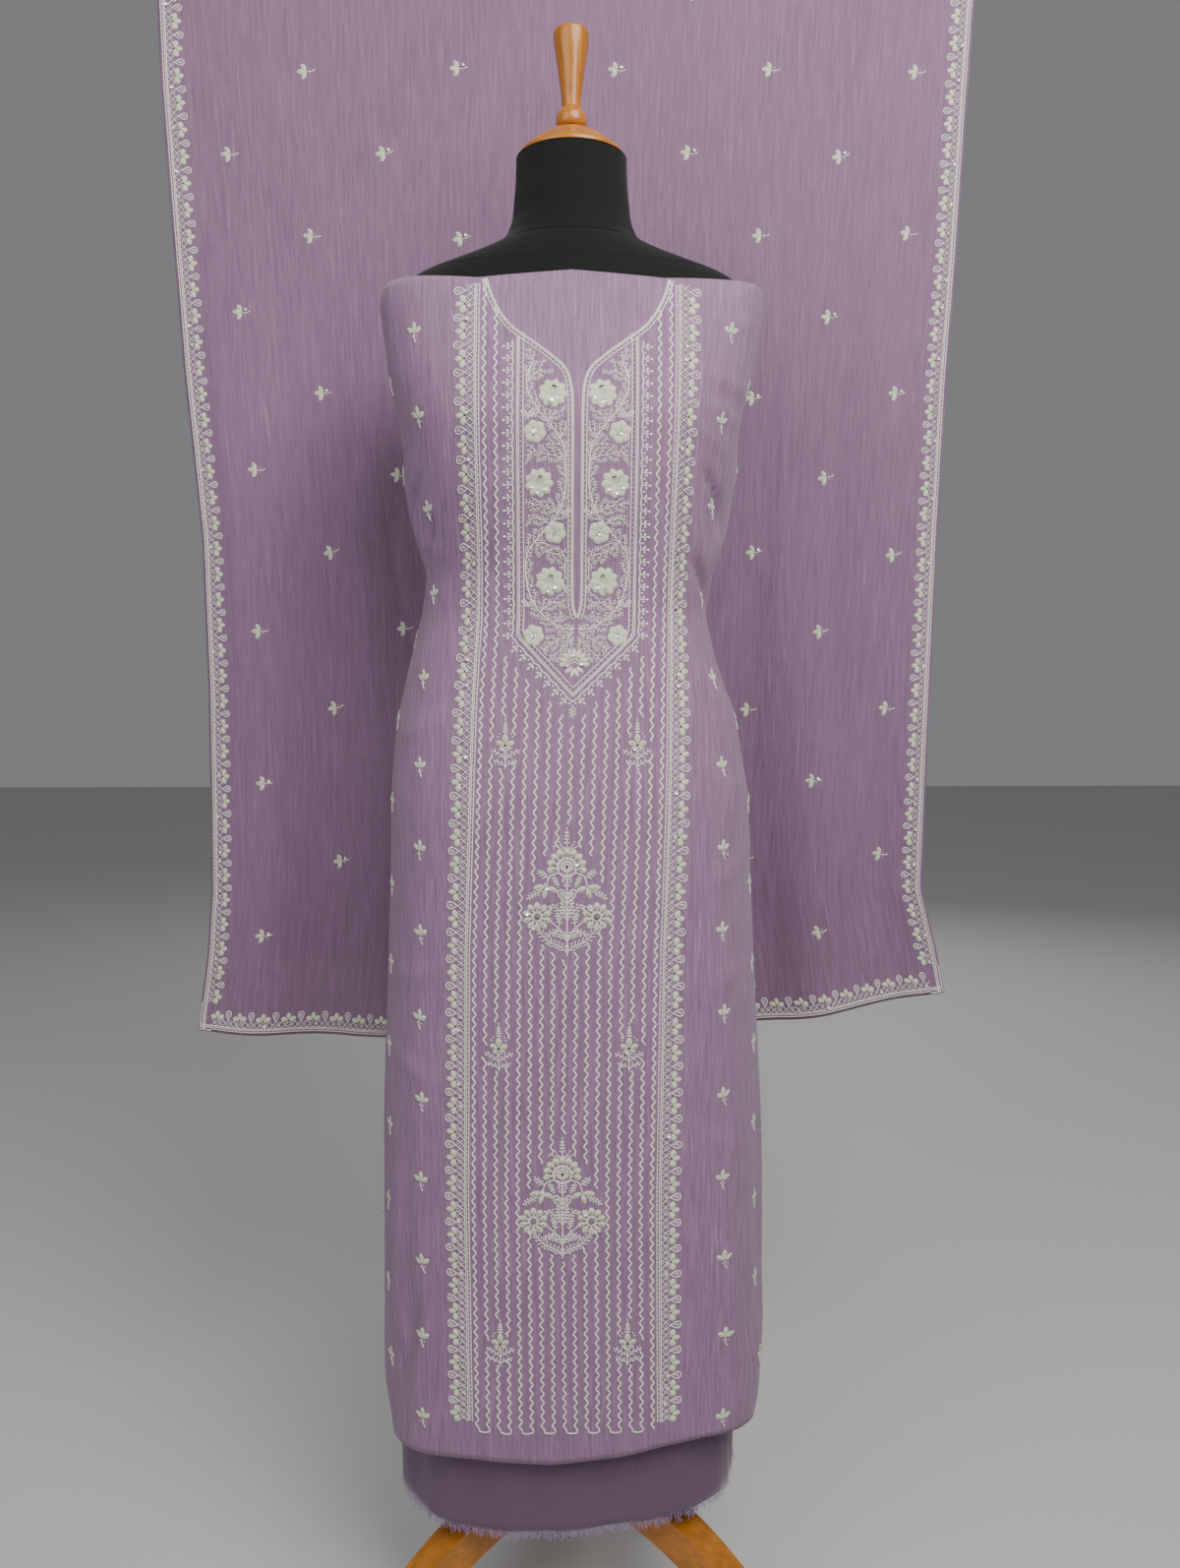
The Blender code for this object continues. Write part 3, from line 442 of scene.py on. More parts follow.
def fold_rise(folds, across, height):
    """How far the broad folds push the cloth out."""
    total = 0.0
    for fold in folds:
        middle, half = (fold.top + fold.bottom) / 2, (fold.top - fold.bottom) / 2
        along = (fold.top - height) / (2 * half)
        sideways = (across - fold.across - fold.lean * along) / fold.width
        lengthways = np.maximum(0.0, np.abs(height - middle) - half * 0.55) / (half * 0.45 + 0.02)
        total = total + fold.rise * np.exp(-(sideways ** 2) - lengthways ** 2)
    return total


def crease_rise(creases, across, along):
    """How far the fine creases push the cloth out, each dying away towards its ends."""
    total = np.zeros(np.broadcast(across, along).shape)
    spots = across + 1j * along
    for crease in creases:
        share = np.linspace(0.0, 1.0, 33)
        route = (crease.across + crease.reach * share + crease.bow * 4 * share * (1 - share)
                 + 1j * (crease.along - crease.drop * share))
        span = 3 * crease.width
        near = ((spots.real > route.real.min() - span) & (spots.real < route.real.max() + span)
                & (spots.imag > route.imag.min() - span) & (spots.imag < route.imag.max() + span))
        if not near.any():
            continue
        gaps = np.abs(spots[near][:, None] - route[None, :])
        nearest = gaps.argmin(axis=1)
        fade = np.sin(pi * np.clip(share[nearest], 0.02, 0.98)) ** 0.6
        total[near] += crease.rise * fade * np.exp(-(gaps.min(axis=1) / crease.width) ** 2)
    return total


def ripples(across, along, random, counts, sizes):
    """Small upright waves in the cloth, no two alike, sizes deep for each of the counts waves per metre."""
    total = 0.0
    for count, size in zip(counts, sizes):
        for _ in range(3):
            pitch = count * random.uniform(0.8, 1.25)
            phase = random.uniform(0, 2 * pi)
            sway = random.uniform(1.5, 4.0)
            drift = 0.35 * np.sin(2 * pi * sway * along + random.uniform(0, 2 * pi))
            strength = 0.5 + 0.5 * np.sin(2 * pi * random.uniform(0.8, 2.2) * along
                                          + random.uniform(0, 2 * pi))
            total = total + size * strength * np.sin(2 * pi * pitch * across + phase + drift)
    return total


def wrapped_surface(table, folds, creases, width, across, along, calm, flutter, seed):
    """A cloth wrapped round the form. calm holds the ripples down near the middle of the front."""
    sections = Sections(table, 0.016)
    random = np.random.default_rng(RANDOM_SEED + seed)
    a, h = np.meshgrid(across, along)
    out = fold_rise(folds, a, h) + CREASE_GAIN * crease_rise(creases, a, h)
    free = 0.25 + 0.75 * ease((np.abs(a) - calm) / 0.05)
    out += free * ripples(a, h, random, (14.0, 38.0), (0.00045, 0.00022))
    out += flutter(a, h) * ripples(a, h, random, (7.0, 12.0), (0.0012, 0.0007))
    points = np.empty((*a.shape, 3))
    for row, height in enumerate(along):
        plan, normals, layer = round_section(sections.ring(height), across, width)
        push = np.where(across < 0, LAP / 2, -LAP / 2) * layer + out[row] * (1.0 - layer)
        points[row, :, :2] = plan + normals * push[:, None] + (0.0, FORM_Y)
        points[row, :, 2] = height
    return ClothSurface(across, along, points)


def graded(stops):
    """Grid lines from (place, spacing up to the next place) pairs."""
    lines = [np.linspace(a, b, max(2, int(round((b - a) / gap)) + 1))[:-1]
             for (a, gap), (b, _) in zip(stops, stops[1:])]
    return np.concatenate([*lines, [stops[-1][0]]])


@lru_cache(maxsize=None)
def kameez_surface():
    across = graded(((-0.560, 0.0085), (-0.250, 0.0030), (-0.115, 0.0048), (0.115, 0.0030), (0.250, 0.0085),
                     (0.560, 0)))
    along = np.linspace(0.232, 1.371, 186)
    return wrapped_surface(KAMEEZ_RINGS, KAMEEZ_FOLDS, KAMEEZ_CREASES, KAMEEZ_WIDTH, across, along, 0.11,
                           lambda a, h: ease((0.42 - h) / 0.18)
                           * (0.25 + 0.75 * ease((np.abs(a) - 0.11) / 0.06)), 1)


@lru_cache(maxsize=None)
def salwar_surface():
    across = graded(((-0.530, 0.0095), (-0.240, 0.0050), (0.240, 0.0095), (0.530, 0)))
    along = np.linspace(0.145, SALWAR_TOP, 120)
    return wrapped_surface(SALWAR_RINGS, SALWAR_FOLDS, SALWAR_CREASES, SALWAR_WIDTH, across, along, 0.0,
                           lambda a, h: 1.3 * ease((0.34 - h) / 0.20), 2)


def layer_out(drops, pleats, across, height):
    """(x, distance out from the fold's own radius) of one hanging layer of the dupatta."""
    reach = np.where(across < 0, read_table(drops, "height", "left", height),
                     read_table(drops, "height", "right", height))
    out = LAYER_SPREAD * ease((ROD_HEIGHT - height) / ROD_HEIGHT / SPREAD_SHARE)
    for pleat in pleats:
        grown = ease((pleat.start - height) / PLEAT_GROWTH)
        out = out + pleat.rise * grown * np.exp(-(((across - pleat.across) / pleat.width) ** 2))
    return across / (DUPATTA_WIDTH / 2) * reach, out


@lru_cache(maxsize=None)
def dupatta_surface():
    """along is 0 where the front layer meets the rod, minus down the front and plus over to the back."""
    across = graded(((-0.4625, 0.0052), (-0.400, 0.0070), (0.400, 0.0052), (0.4625, 0)))
    along = graded(((-1.257, 0.0105), (0.0, FOLD_LENGTH / 14), (FOLD_LENGTH, 0.0112),
                    (FOLD_LENGTH + 1.184, 0)))
    random = np.random.default_rng(RANDOM_SEED + 3)
    a, s = np.meshgrid(across, along)
    front, back = np.minimum(s, 0.0), np.maximum(s - FOLD_LENGTH, 0.0)
    front_x, front_out = layer_out(FRONT_DROP, FRONT_PLEATS, a, ROD_HEIGHT + front)
    back_x, back_out = layer_out(BACK_DROP, BACK_PLEATS, a, ROD_HEIGHT - back)
    hang = ease(np.maximum(-front, back) / 0.5)
    extra = hang * (crease_rise(DUPATTA_CREASES, a, s) + ripples(a, s, random, (6.0, 13.0), (0.0010, 0.0006)))
    angle = np.clip(s / FOLD_RADIUS, 0.0, pi)
    radius = FOLD_RADIUS + np.where(s < pi * FOLD_RADIUS / 2, front_out, back_out) + extra
    turn = ease(angle / pi)
    points = np.stack([
        np.where(s <= 0, front_x, np.where(s >= FOLD_LENGTH, back_x, front_x * (1 - turn) + back_x * turn)),
        ROD_Y - radius * np.cos(angle),
        ROD_HEIGHT + front - back + radius * np.sin(angle),
    ], axis=-1)
    return ClothSurface(across, along, points)


# ---------------------------------------------------------------- pieces
def add_piece(name, mesh, material, slot, *nodes):
    """A finished piece: it takes its material, rides on the set and stands for its CAD nodes."""
    obj = bpy.data.objects.new(name, mesh)
    mesh.materials.append(material)
    bpy.context.scene.collection.objects.link(obj)
    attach(obj, "root")
    if nodes:
        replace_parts(obj, *nodes)
    return obj


def mesh_of(name, points, faces, attribute=None, values=None):
    """A smooth mesh from points and faces, with flat or stitch coordinates kept on its points."""
    mesh = bpy.data.meshes.new(name)
    mesh.from_pydata(points.reshape(-1, 3).tolist(), [], faces.tolist() if hasattr(faces, "tolist")
                     else faces)
    mesh.shade_smooth()
    if attribute:
        store = mesh.attributes.new(attribute, "FLOAT_VECTOR", "POINT")
        store.data.foreach_set("vector", np.ascontiguousarray(values, np.float32).reshape(-1))
    return mesh


def grid_faces(rows, columns):
    """Quads of a grid whose rows run up and whose columns run to the right."""
    index = np.arange(rows * columns).reshape(rows, columns)
    return np.stack([index[:-1, :-1], index[:-1, 1:], index[1:, 1:], index[1:, :-1]], axis=-1).reshape(-1, 4)


def sheet_piece(name, surface, top_of, bottom_of, blend, wall, material, slot, *nodes):
    """The cloth itself: the surface's own grid, drawn to its cut edges, with its wall given by Solidify."""
    a, s = np.meshgrid(surface.across, surface.along)
    low, high = surface.along[0], surface.along[-1]
    s = s + (top_of(a) - high) * ease((s - (high - blend)) / blend)
    s = s + (bottom_of(a) - low) * ease((low + blend - s) / blend)
    flat = np.stack([a, s, np.zeros_like(a)], axis=-1)
    mesh = mesh_of(name, surface.place(a, s), grid_faces(*a.shape), "flat", flat)
    obj = add_piece(name, mesh, material, slot, *nodes)
    skin = obj.modifiers.new("wall", "SOLIDIFY")
    skin.thickness, skin.offset = wall, 0.0
    return obj


# ---------------------------------------------------------------- needlework
CREAM, SATIN, SHADOW, BEAD = 0.0, 0.4, 0.6, 1.0  # the third stitch coordinate says which thread it is
CORD_WIDTH, CORD_RISE = 0.0012, 0.0008


def curve_through(spots, steps=5):
    """A smooth path through given spots."""
    spots = np.asarray(spots, complex)
    padded = np.concatenate([[2 * spots[0] - spots[1]], spots, [2 * spots[-1] - spots[-2]]])
    share = np.linspace(0.0, 1.0, steps + 1)[:-1]
    parts = []
    for before, a, b, after in zip(padded, padded[1:], padded[2:], padded[3:]):
        parts.append(0.5 * (2 * a + (b - before) * share + (2 * before - 5 * a + 4 * b - after) * share ** 2
                            + (3 * a - before - 3 * b + after) * share ** 3))
    return np.concatenate([*parts, spots[-1:]])


def even_path(path, gap):
    """The same path with points about gap apart."""
    run = np.concatenate([[0.0], np.cumsum(np.abs(np.diff(path)))])
    at = np.linspace(0.0, run[-1], max(2, int(round(run[-1] / gap)) + 1))
    return np.interp(at, run, path.real) + 1j * np.interp(at, run, path.imag)


class Needlework:
    """Stitches drawn in flat coordinates, across + 1j * along, then laid on a cloth as one mesh."""

    def __init__(self, surface, skin):
        self.surface, self.skin = surface, skin
        self.spots, self.lifts, self.stitches, self.faces = [], [], [], []
        self.count = 0

    def add(self, spots, lifts, stitches, faces):
        self.spots.append(np.ravel(spots))
        self.lifts.append(np.ravel(lifts))
        self.stitches.append(np.reshape(stitches, (-1, 3)))
        self.faces.extend((np.asarray(faces) + self.count).tolist())
        self.count += np.size(spots)

    def cord(self, path, width=CORD_WIDTH, rise=CORD_RISE, thread=CREAM, closed=False):
        path = np.asarray(path, complex)
        if closed:
            path = np.append(path, path[0])
        ahead = np.gradient(path)
        if closed:
            ahead[0] = ahead[-1] = path[1] - path[-2]
        side = 1j * ahead / np.maximum(np.abs(ahead), 1e-9) * width / 2
        run = np.concatenate([[0.0], np.cumsum(np.abs(np.diff(path)))])
        spots = np.column_stack([path - side, path, path + side])
        lifts = np.tile((0.0, rise, 0.0), (len(path), 1))
        stitches = np.stack([np.tile(run[:, None], 3), np.tile((-1.0, 0.0, 1.0), (len(path), 1)),
                             np.full(spots.shape, thread)], axis=-1)
        first = 3 * np.arange(len(path) - 1)
        quads = [np.column_stack([first + k, first + k + 3, first + k + 4, first + k + 1]) for k in (0, 1)]
        self.add(spots, lifts, stitches, np.concatenate(quads))

    def petal(self, base, tip, width, full=1.4, rise=0.0013, thread=SATIN, bend=0.0, rows=5):
        share = np.linspace(0.0, 1.0, rows + 1)
        reach = tip - base
        half = width / 2 * np.maximum(np.sin(pi * share ** full) ** 0.7, 0.10)
        spine = base + reach * share + 1j * reach * bend * np.sin(pi * share)
        side = 1j * reach / abs(reach) * half
        spots = np.column_stack([spine + side, spine, spine - side])
        lifts = np.outer(np.sin(pi * np.clip(share, 0.04, 0.96)) ** 0.5, (0.0, rise, 0.0))
        stitches = np.stack([np.tile(share[:, None] * abs(reach), 3),
                             np.tile((-1.0, 0.0, 1.0), (rows + 1, 1)),
                             np.full(spots.shape, thread)], axis=-1)
        first = 3 * np.arange(rows)
        quads = [np.column_stack([first + k, first + k + 1, first + k + 4, first + k + 3]) for k in (0, 1)]
        self.add(spots, lifts, stitches, np.concatenate(quads))

    def disc(self, centre, radii, lifts, thread, sides=7, tilt=0.0, lean=0.0):
        """Rings of points from the rim in to a middle point: a seed stitch, a bead or a sequin."""
        round_about = np.exp(2j * pi * np.arange(sides) / sides)
        spots = np.concatenate([centre + radius * round_about for radius in radii] + [[centre]])
        heights = np.concatenate([lift + tilt * radius * (round_about * np.exp(-1j * lean)).real
                                  for radius, lift in zip(radii, lifts)] + [[lifts[-1]]])
        stitches = np.column_stack([np.abs(spots - centre), heights * 0, np.full(len(spots), thread)])
        faces = []
        for ring in range(len(radii) - 1):
            for k in range(sides):
                a, b = ring * sides + k, ring * sides + (k + 1) % sides
                faces.append((a, b, b + sides, a + sides))
        last = (len(radii) - 1) * sides
        caps = [(last + k, last + (k + 1) % sides, len(spots) - 1) for k in range(sides)]
        self.faces.extend([tuple(i + self.count for i in face) for face in faces])
        self.add(spots, heights, stitches, caps)

    def seed(self, centre, radius=0.0007, thread=CREAM):
        self.disc(centre, (radius, radius * 0.62), (0.0, radius * 0.8), thread, sides=6)

    def bead(self, centre, radius=0.0011, thread=BEAD):
        self.disc(centre, (radius, radius * 0.86, radius * 0.45), (0.0002, radius * 0.9, radius * 1.4),
                  thread, sides=8)

    def piece(self, name, material, slot):
        spots, lifts = np.concatenate(self.spots), np.concatenate(self.lifts)
        points = self.surface.place(spots.real, spots.imag, lifts + self.skin)
        mesh = mesh_of(name, points, self.faces, "stitch", np.concatenate(self.stitches))
        return add_piece(name, mesh, material, slot)


class Sequins(Needlework):
    """Small cupped foil discs, each sewn at its own slant."""

    def __init__(self, surface, skin, seed):
        super().__init__(surface, skin)
        self.random = np.random.default_rng(RANDOM_SEED + seed)

    def sew(self, centre, radius=0.00125):
        radius *= 1.45
        tilt, lean = self.random.uniform(0.05, 0.42), self.random.uniform(0, 2 * pi)
        base = 0.0011 + radius * tilt
        self.disc(centre, (radius, radius * 0.72, radius * 0.22), (base + 0.00025, base, base - 0.0003),
                  self.random.uniform(), sides=10, tilt=tilt, lean=lean)


class Pen:
    """Draws in a motif's own measure: the real part to its right and the imaginary part up its stem."""

    def __init__(self, work, sequins, place, turn=0.0, size=1.0, mirror=False):
        self.work, self.sequins, self.place, self.mirror = work, sequins, place, mirror
        self.factor = size * np.exp(1j * turn)

    def at(self, spots):
        spots = np.asarray(spots, complex)
        return self.place + self.factor * (-np.conj(spots) if self.mirror else spots)

    def inner(self, place, turn=0.0, size=1.0, mirror=False):
        """A pen for a smaller motif placed in this one."""
        made = Pen(self.work, self.sequins, complex(self.at(place)))
        factor = size * np.exp(1j * turn)
        made.factor = self.factor * (np.conj(factor) if self.mirror else factor)
        made.mirror = self.mirror != mirror
        return made

    def stem(self, spots, width=0.00105, thread=CREAM, steps=5):
        self.work.cord(self.at(curve_through(spots, steps)), width * max(abs(self.factor), 0.8),
                       thread=thread)

    def petal(self, base, tip, width, bend=0.0, **looks):
        bend = -bend if self.mirror else bend
        self.work.petal(complex(self.at(base)), complex(self.at(tip)), width * abs(self.factor), bend=bend,
                        **looks)

    def seed(self, spot, radius=0.0008, thread=CREAM):
        self.work.seed(complex(self.at(spot)), radius, thread)

    def bead(self, spot, radius=0.0011, thread=BEAD):
        self.work.bead(complex(self.at(spot)), radius, thread)

    def sequin(self, spot, radius=0.00125):
        self.sequins.sew(complex(self.at(spot)), radius)

    def teardrop(self, base, tip, width, swirl=True, thread=CREAM):
        """An outlined drop, pointed at its base, with a small curl inside."""
        turn = np.linspace(0.0, 2 * pi, 19)[:-1]
        along, out = (1 - np.cos(turn)) / 2, np.sin(turn) * np.abs(np.sin(turn / 2)) / 0.77
        reach = tip - base
        side = 1j * reach / abs(reach) * width / 2
        self.work.cord(self.at(base + reach * along + side * out), 0.00115, thread=thread, closed=True)
        if swirl:
            curl = np.array([0.30, 0.55 + 0.20j, 0.76 + 0.04j, 0.66 - 0.22j, 0.52 - 0.05j])
            self.work.cord(self.at(base + curve_through(curl.real * reach + curl.imag * side * 1.6, 3)),
                           0.0009, thread=thread)


# ---------------------------------------------------------------- motifs
def up(angle):
    """A unit step angle radians anticlockwise from straight up a motif."""
    return 1j * np.exp(1j * angle)


def clover(pen, size=0.0115, spread=1.20, bead=True):
    """Three rounded satin petals on a dark bead."""
    for lean, reach, wide in ((0.0, 0.82, 0.50), (-spread, 0.80, 0.58), (spread, 0.80, 0.58)):
        pen.petal(up(lean) * size * 0.06, up(lean) * size * reach, size * wide, full=1.30, rise=0.0016)
    if bead:
        pen.bead(0, 0.0010)
        for side in (-1, 1):
            pen.seed(side * 0.0017 - 0.0006j, 0.0006)


def sprig(pen, size=0.0088, sequin=False, spread=0.98, wide=0.50):
    """A small three-petalled flower on a bent stem, with a pair of seed stitches."""
    for lean, reach in ((-spread, 0.88), (spread, 0.88), (0.0, 1.0)):
        way = up(lean) * size
        pen.petal(way * 0.06, way * reach, size * wide, full=1.15)
        pen.petal(way * 0.42, way * reach * 0.80, size * wide * 0.30, full=1.0, rise=0.0019, thread=SHADOW,
                  rows=3)
    pen.stem([0, -0.30j * size, (0.07 - 0.62j) * size, (0.20 - 0.86j) * size], 0.0011)
    pen.seed((-0.20 - 0.30j) * size, 0.0006)
    pen.seed((0.26 - 0.30j) * size, 0.0006)
    if sequin:
        pen.sequin((0.30 - 0.42j) * size)


def bloom(pen, radius, petals, spread=2 * pi, middle=0.30, centre=True, gap=1.62, marked=True):
    """Satin petals fanned round a ringed centre."""
    whole = spread > 6.2
    wide = gap * radius * sin(spread / petals / 2)
    for k in range(petals):
        share = k / petals if whole else (k + 0.5) / petals - 0.5
        way = up(spread * share) * radius
        pen.petal(way * middle, way, wide, full=1.45, rise=0.0016)
        if marked:
            pen.petal(way * (middle * 0.45 + 0.30), way * 0.86, wide * 0.34, full=1.2, rise=0.0022,
                      thread=SHADOW, rows=3)
    ring = np.linspace(0, 2 * pi, 15)[:-1]
    pen.work.cord(pen.at(radius * middle * 1.02 * np.exp(1j * ring)), 0.0010, closed=True)
    if centre:
        pen.bead(0, max(0.0011, radius * 0.14))
        pen.seed(0.0002j + radius * 0.02, 0.0006)


def grain(pen, base, way, reach=0.0034, size=0.0024):
    """A seed-shaped berry on a short stalk."""
    pen.stem([base, base + way * (reach - size * 0.7)], 0.0006, steps=1)
    pen.petal(base + way * (reach - size), base + way * reach, size * 0.66, full=1.2, rise=0.0011,
              thread=CREAM, rows=3)


def twig(pen, spots, reach=0.0046, gap=0.0037, width=0.0010, berry=0.0009):
    """A curved stem with stalked round berries on both sides and one at its tip."""
    pen.stem(spots, width)
    path = even_path(curve_through(spots), gap)
    ahead = np.gradient(path)
    ahead /= np.abs(ahead)
    for k in range(1, len(path)):
        for side in (1, -1):
            stalk = path[k] - ahead[k] * 0.0010 * (side > 0)
            tip = stalk + ahead[k] * np.exp(0.85j * side) * reach * (1.0 - 0.25 * k / len(path))
            pen.stem([stalk, tip], 0.0007, steps=1)
            pen.seed(tip, berry)
    pen.stem([path[-1], path[-1] + ahead[-1] * 0.0026], 0.0009, steps=1)
    pen.seed(path[-1] + ahead[-1] * 0.0032, berry)


def half_pens(pen):
    """The motif's own pen and its mirror image, for what is worked alike on both sides."""
    return pen, pen.inner(0, mirror=True)


def large_boota(pen):
    """A tall pear-shaped plant: leafy foot, two round flowers, a heart, and a fan flower under a spike."""
    pen.stem([-0.0590j, -0.0300j, 0.0j, 0.0180j], 0.0014)
    for half in half_pens(pen):
        twig(half, [-0.0565j, 0.0060 - 0.0505j, 0.0140 - 0.0475j])
        twig(half, [0.0120 - 0.0485j, 0.0190 - 0.0440j, 0.0235 - 0.0385j])
        twig(half, [-0.0465j, 0.0035 - 0.0405j, 0.0095 - 0.0385j])
        half.stem([-0.0430j, 0.0060 - 0.0350j, 0.0150 - 0.0270j], 0.0012)
        twig(half, [0.0050 - 0.0365j, 0.0105 - 0.0365j, 0.0150 - 0.0380j], 0.0030, 0.0030)
        twig(half, [0.0075 - 0.0320j, 0.0070 - 0.0265j, 0.0085 - 0.0225j], 0.0028, 0.0030)
        flower = half.inner(0.0275 - 0.0225j)
        bloom(flower, 0.0138, 10, middle=0.34, centre=False, gap=1.50)
        flower.bead(0, 0.0024, SHADOW)
        ring = [0.0036 * up(angle) for angle in np.linspace(0.0, 2 * pi, 11)]
        flower.stem(ring, 0.0011, steps=2)
        flower.work.bead(complex(flower.at(0.0002j)), 0.0017, CREAM)
        for spot in (-0.0058 + 0.0082j, 0.0035 - 0.0098j, 0.0088 + 0.0036j):
            flower.sequin(spot, 0.0014)
        twig(half, [-0.0265j, 0.0050 - 0.0190j, 0.0100 - 0.0140j])
        twig(half, [-0.0225j, 0.0030 - 0.0165j, 0.0042 - 0.0110j], 0.0026, 0.0030)
        twig(half, [0.0125 - 0.0110j, 0.0150 - 0.0130j, 0.0165 - 0.0175j], 0.0024, 0.0032)
        heart = [-0.0100j, 0.0030 - 0.0075j, 0.0072 - 0.0035j, 0.0082 + 0.0015j, 0.0050 + 0.0026j,
                 0.0012 - 0.0010j]
        half.stem(heart, 0.0013)
        half.petal(-0.0072j, 0.0062 + 0.0008j, 0.0042, full=1.3, rise=0.0014)
        half.petal(0.0018 - 0.0042j, 0.0052 - 0.0002j, 0.0016, full=1.0, rise=0.0020, thread=SHADOW, rows=3)
        for base, reach in ((0.0055j, 0.0036), (0.0085j, 0.0052), (0.0115j, 0.0046)):
            grain(half, base, up(-1.15), reach)
            grain(half, base + 0.0012, up(-0.75), reach * 0.9)
        half.stem([0.0150j, 0.0080 + 0.0180j, 0.0160 + 0.0145j, 0.0190 + 0.0060j], 0.0012)
        for lean, reach, wide in ((2.05, 0.0112, 0.0058), (3.4, 0.0118, 0.0050), (-1.70, 0.0128, 0.0062)):
            way = up(lean) * reach
            half.petal(0.0185 + 0.0058j + way * 0.05, 0.0185 + 0.0058j + way, wide, full=1.1, rise=0.0015)
            half.petal(0.0185 + 0.0058j + way * 0.4, 0.0185 + 0.0058j + way * 0.8, wide * 0.32, full=1.0,
                       rise=0.0021, thread=SHADOW, rows=3)
        twig(half, [0.0225 + 0.0015j, 0.0290 - 0.0010j, 0.0340 - 0.0040j], 0.0030, 0.0030)
        twig(half, [0.0165 + 0.0135j, 0.0205 + 0.0150j, 0.0235 + 0.0180j], 0.0034, 0.0030)
        twig(half, [0.0120 + 0.0165j, 0.0110 + 0.0120j, 0.0095 + 0.0085j], 0.0024, 0.0030)
        half.stem([0.0405j, 0.0035 + 0.0420j, 0.0068 + 0.0455j], 0.0009)
        half.seed(0.0072 + 0.0468j, 0.0009)
        half.stem([0.0395j, 0.0070 + 0.0415j, 0.0115 + 0.0432j, 0.0125 + 0.0410j], 0.0009)
        for k, height in enumerate((0.0462, 0.0496, 0.0528, 0.0558)):
            grain(half, 1j * (height - 0.0012), up(-1.0), 0.0036 - 0.0004 * k)
    fan = pen.inner(0.0235j)
    bloom(fan, 0.0186, 9, spread=3.9, middle=0.48, centre=False, gap=1.72)
    for radius in (0.0026, 0.0052, 0.0080):
        fan.stem([radius * up(angle) for angle in np.linspace(-2.0, 2.0, 9)], 0.0013, steps=2)
    for radius, count in ((0.0039, 6), (0.0065, 9)):
        for k in range(count):
            fan.seed(radius * up(-1.6 + 3.2 * k / (count - 1)), 0.0006)
    fan.bead(0, 0.0013)
    fan.petal(0.0004j, -0.0056j, 0.0100, full=0.7, rise=0.0012)
    pen.stem([0.0415j, 0.0500j, 0.0575j], 0.0011)
    grain(pen, 0.0570j, 1j, 0.0032)
    fan.sequin(0.0098 + 0.0030j, 0.0014)
    pen.sequin(-0.0190 + 0.0075j, 0.0015)
    pen.sequin(-0.0178 + 0.0045j, 0.0014)


def small_boota(pen):
    """A slender plant with a three-lobed flower and a dotted spike."""
    pen.stem([-0.0235j, -0.0100j, -0.0020j], 0.0012)
    for half in half_pens(pen):
        twig(half, [-0.0215j, 0.0040 - 0.0185j, 0.0075 - 0.0172j], 0.0030, 0.0036, 0.0009, 0.00080)
        twig(half, [-0.0150j, 0.0050 - 0.0105j, 0.0100 - 0.0080j], 0.0032, 0.0036, 0.0009, 0.00080)
        grain(half, -0.0085j, up(-0.9), 0.0044)
        half.petal(0.0006 - 0.0020j, 0.0084 + 0.0014j, 0.0056, full=1.3, rise=0.0015)
        half.petal(0.0030 - 0.0010j, 0.0066 + 0.0006j, 0.0018, full=1.0, rise=0.0021, thread=SHADOW, rows=3)
        half.petal(0.0004 - 0.0030j, 0.0062 - 0.0055j, 0.0032, full=1.1)
        for k, height in enumerate((0.0098, 0.0126, 0.0152, 0.0176)):
            grain(half, 1j * (height - 0.0008), up(-1.0), 0.0033 - 0.0004 * k)
        half.seed(0.0068 + 0.0058j, 0.0009)
        half.seed(0.0052 + 0.0086j, 0.0008)
    pen.petal(-0.0014j, 0.0088j, 0.0062, full=1.4, rise=0.0016)
    pen.petal(0.0024j, 0.0070j, 0.0019, full=1.1, rise=0.0022, thread=SHADOW, rows=3)
    pen.bead(-0.0018j, 0.0012)
    pen.sequin(-0.0025 - 0.0052j, 0.0012)
    pen.stem([0.0082j, 0.0150j, 0.0205j], 0.0010)
    grain(pen, 0.0200j, 1j, 0.0030)


def edging(work, sequins, spot_at, length, repeat, random, lattice=0.0095, cords=(0.0092, 0.0108, 0.0134)):
    """A border. spot_at(run, out) gives its places; flowers and outlined drops stand on out = 0."""
    count = int(round(length / repeat))
    step = length / count
    runs = np.linspace(0.0, length, max(2, int(length / 0.007)))
    for depth in cords:
        work.cord(spot_at(runs, -depth), 0.0010)
    for number, run in enumerate(np.arange(0.0016, length, 0.0022)):
        work.seed(complex(spot_at(run, -(cords[1] + cords[2]) / 2)), 0.00055, (CREAM, SHADOW)[number % 2])
    corners = np.arange(0.0, length + step / 4, step / 4)
    near, far = -0.0008, -lattice + 0.0006
    for start in (0, 1):
        depths = np.where((np.arange(len(corners)) + start) % 2 == 0, near, far)
        fine = np.linspace(0.0, corners[-1], 3 * (len(corners) - 1) + 1)
        work.cord(spot_at(fine, np.interp(fine, corners, depths)), 0.0008)
    for k in range(count):
        run = (k + 0.25) * step
        for flower in (True, False):
            place, tip = complex(spot_at(run, 0.0)), complex(spot_at(run, 0.001))
            pen = Pen(work, sequins, place, turn=float(np.angle(tip - place)) - pi / 2)
            if flower:
                clover(pen)
            else:
                pen.teardrop(0.0002j, 0.0102j, 0.0066)
                pen.seed(0, 0.0009)
            pen.seed(-0.0048j, 0.0007)
            pen.seed(step / 8 - 0.0015j, 0.0006)
            if random.uniform() < 0.34:
                pen.sequin(random.uniform(-0.0035, 0.0035) - 1j * random.uniform(0.0030, 0.0068))
            run += step / 2


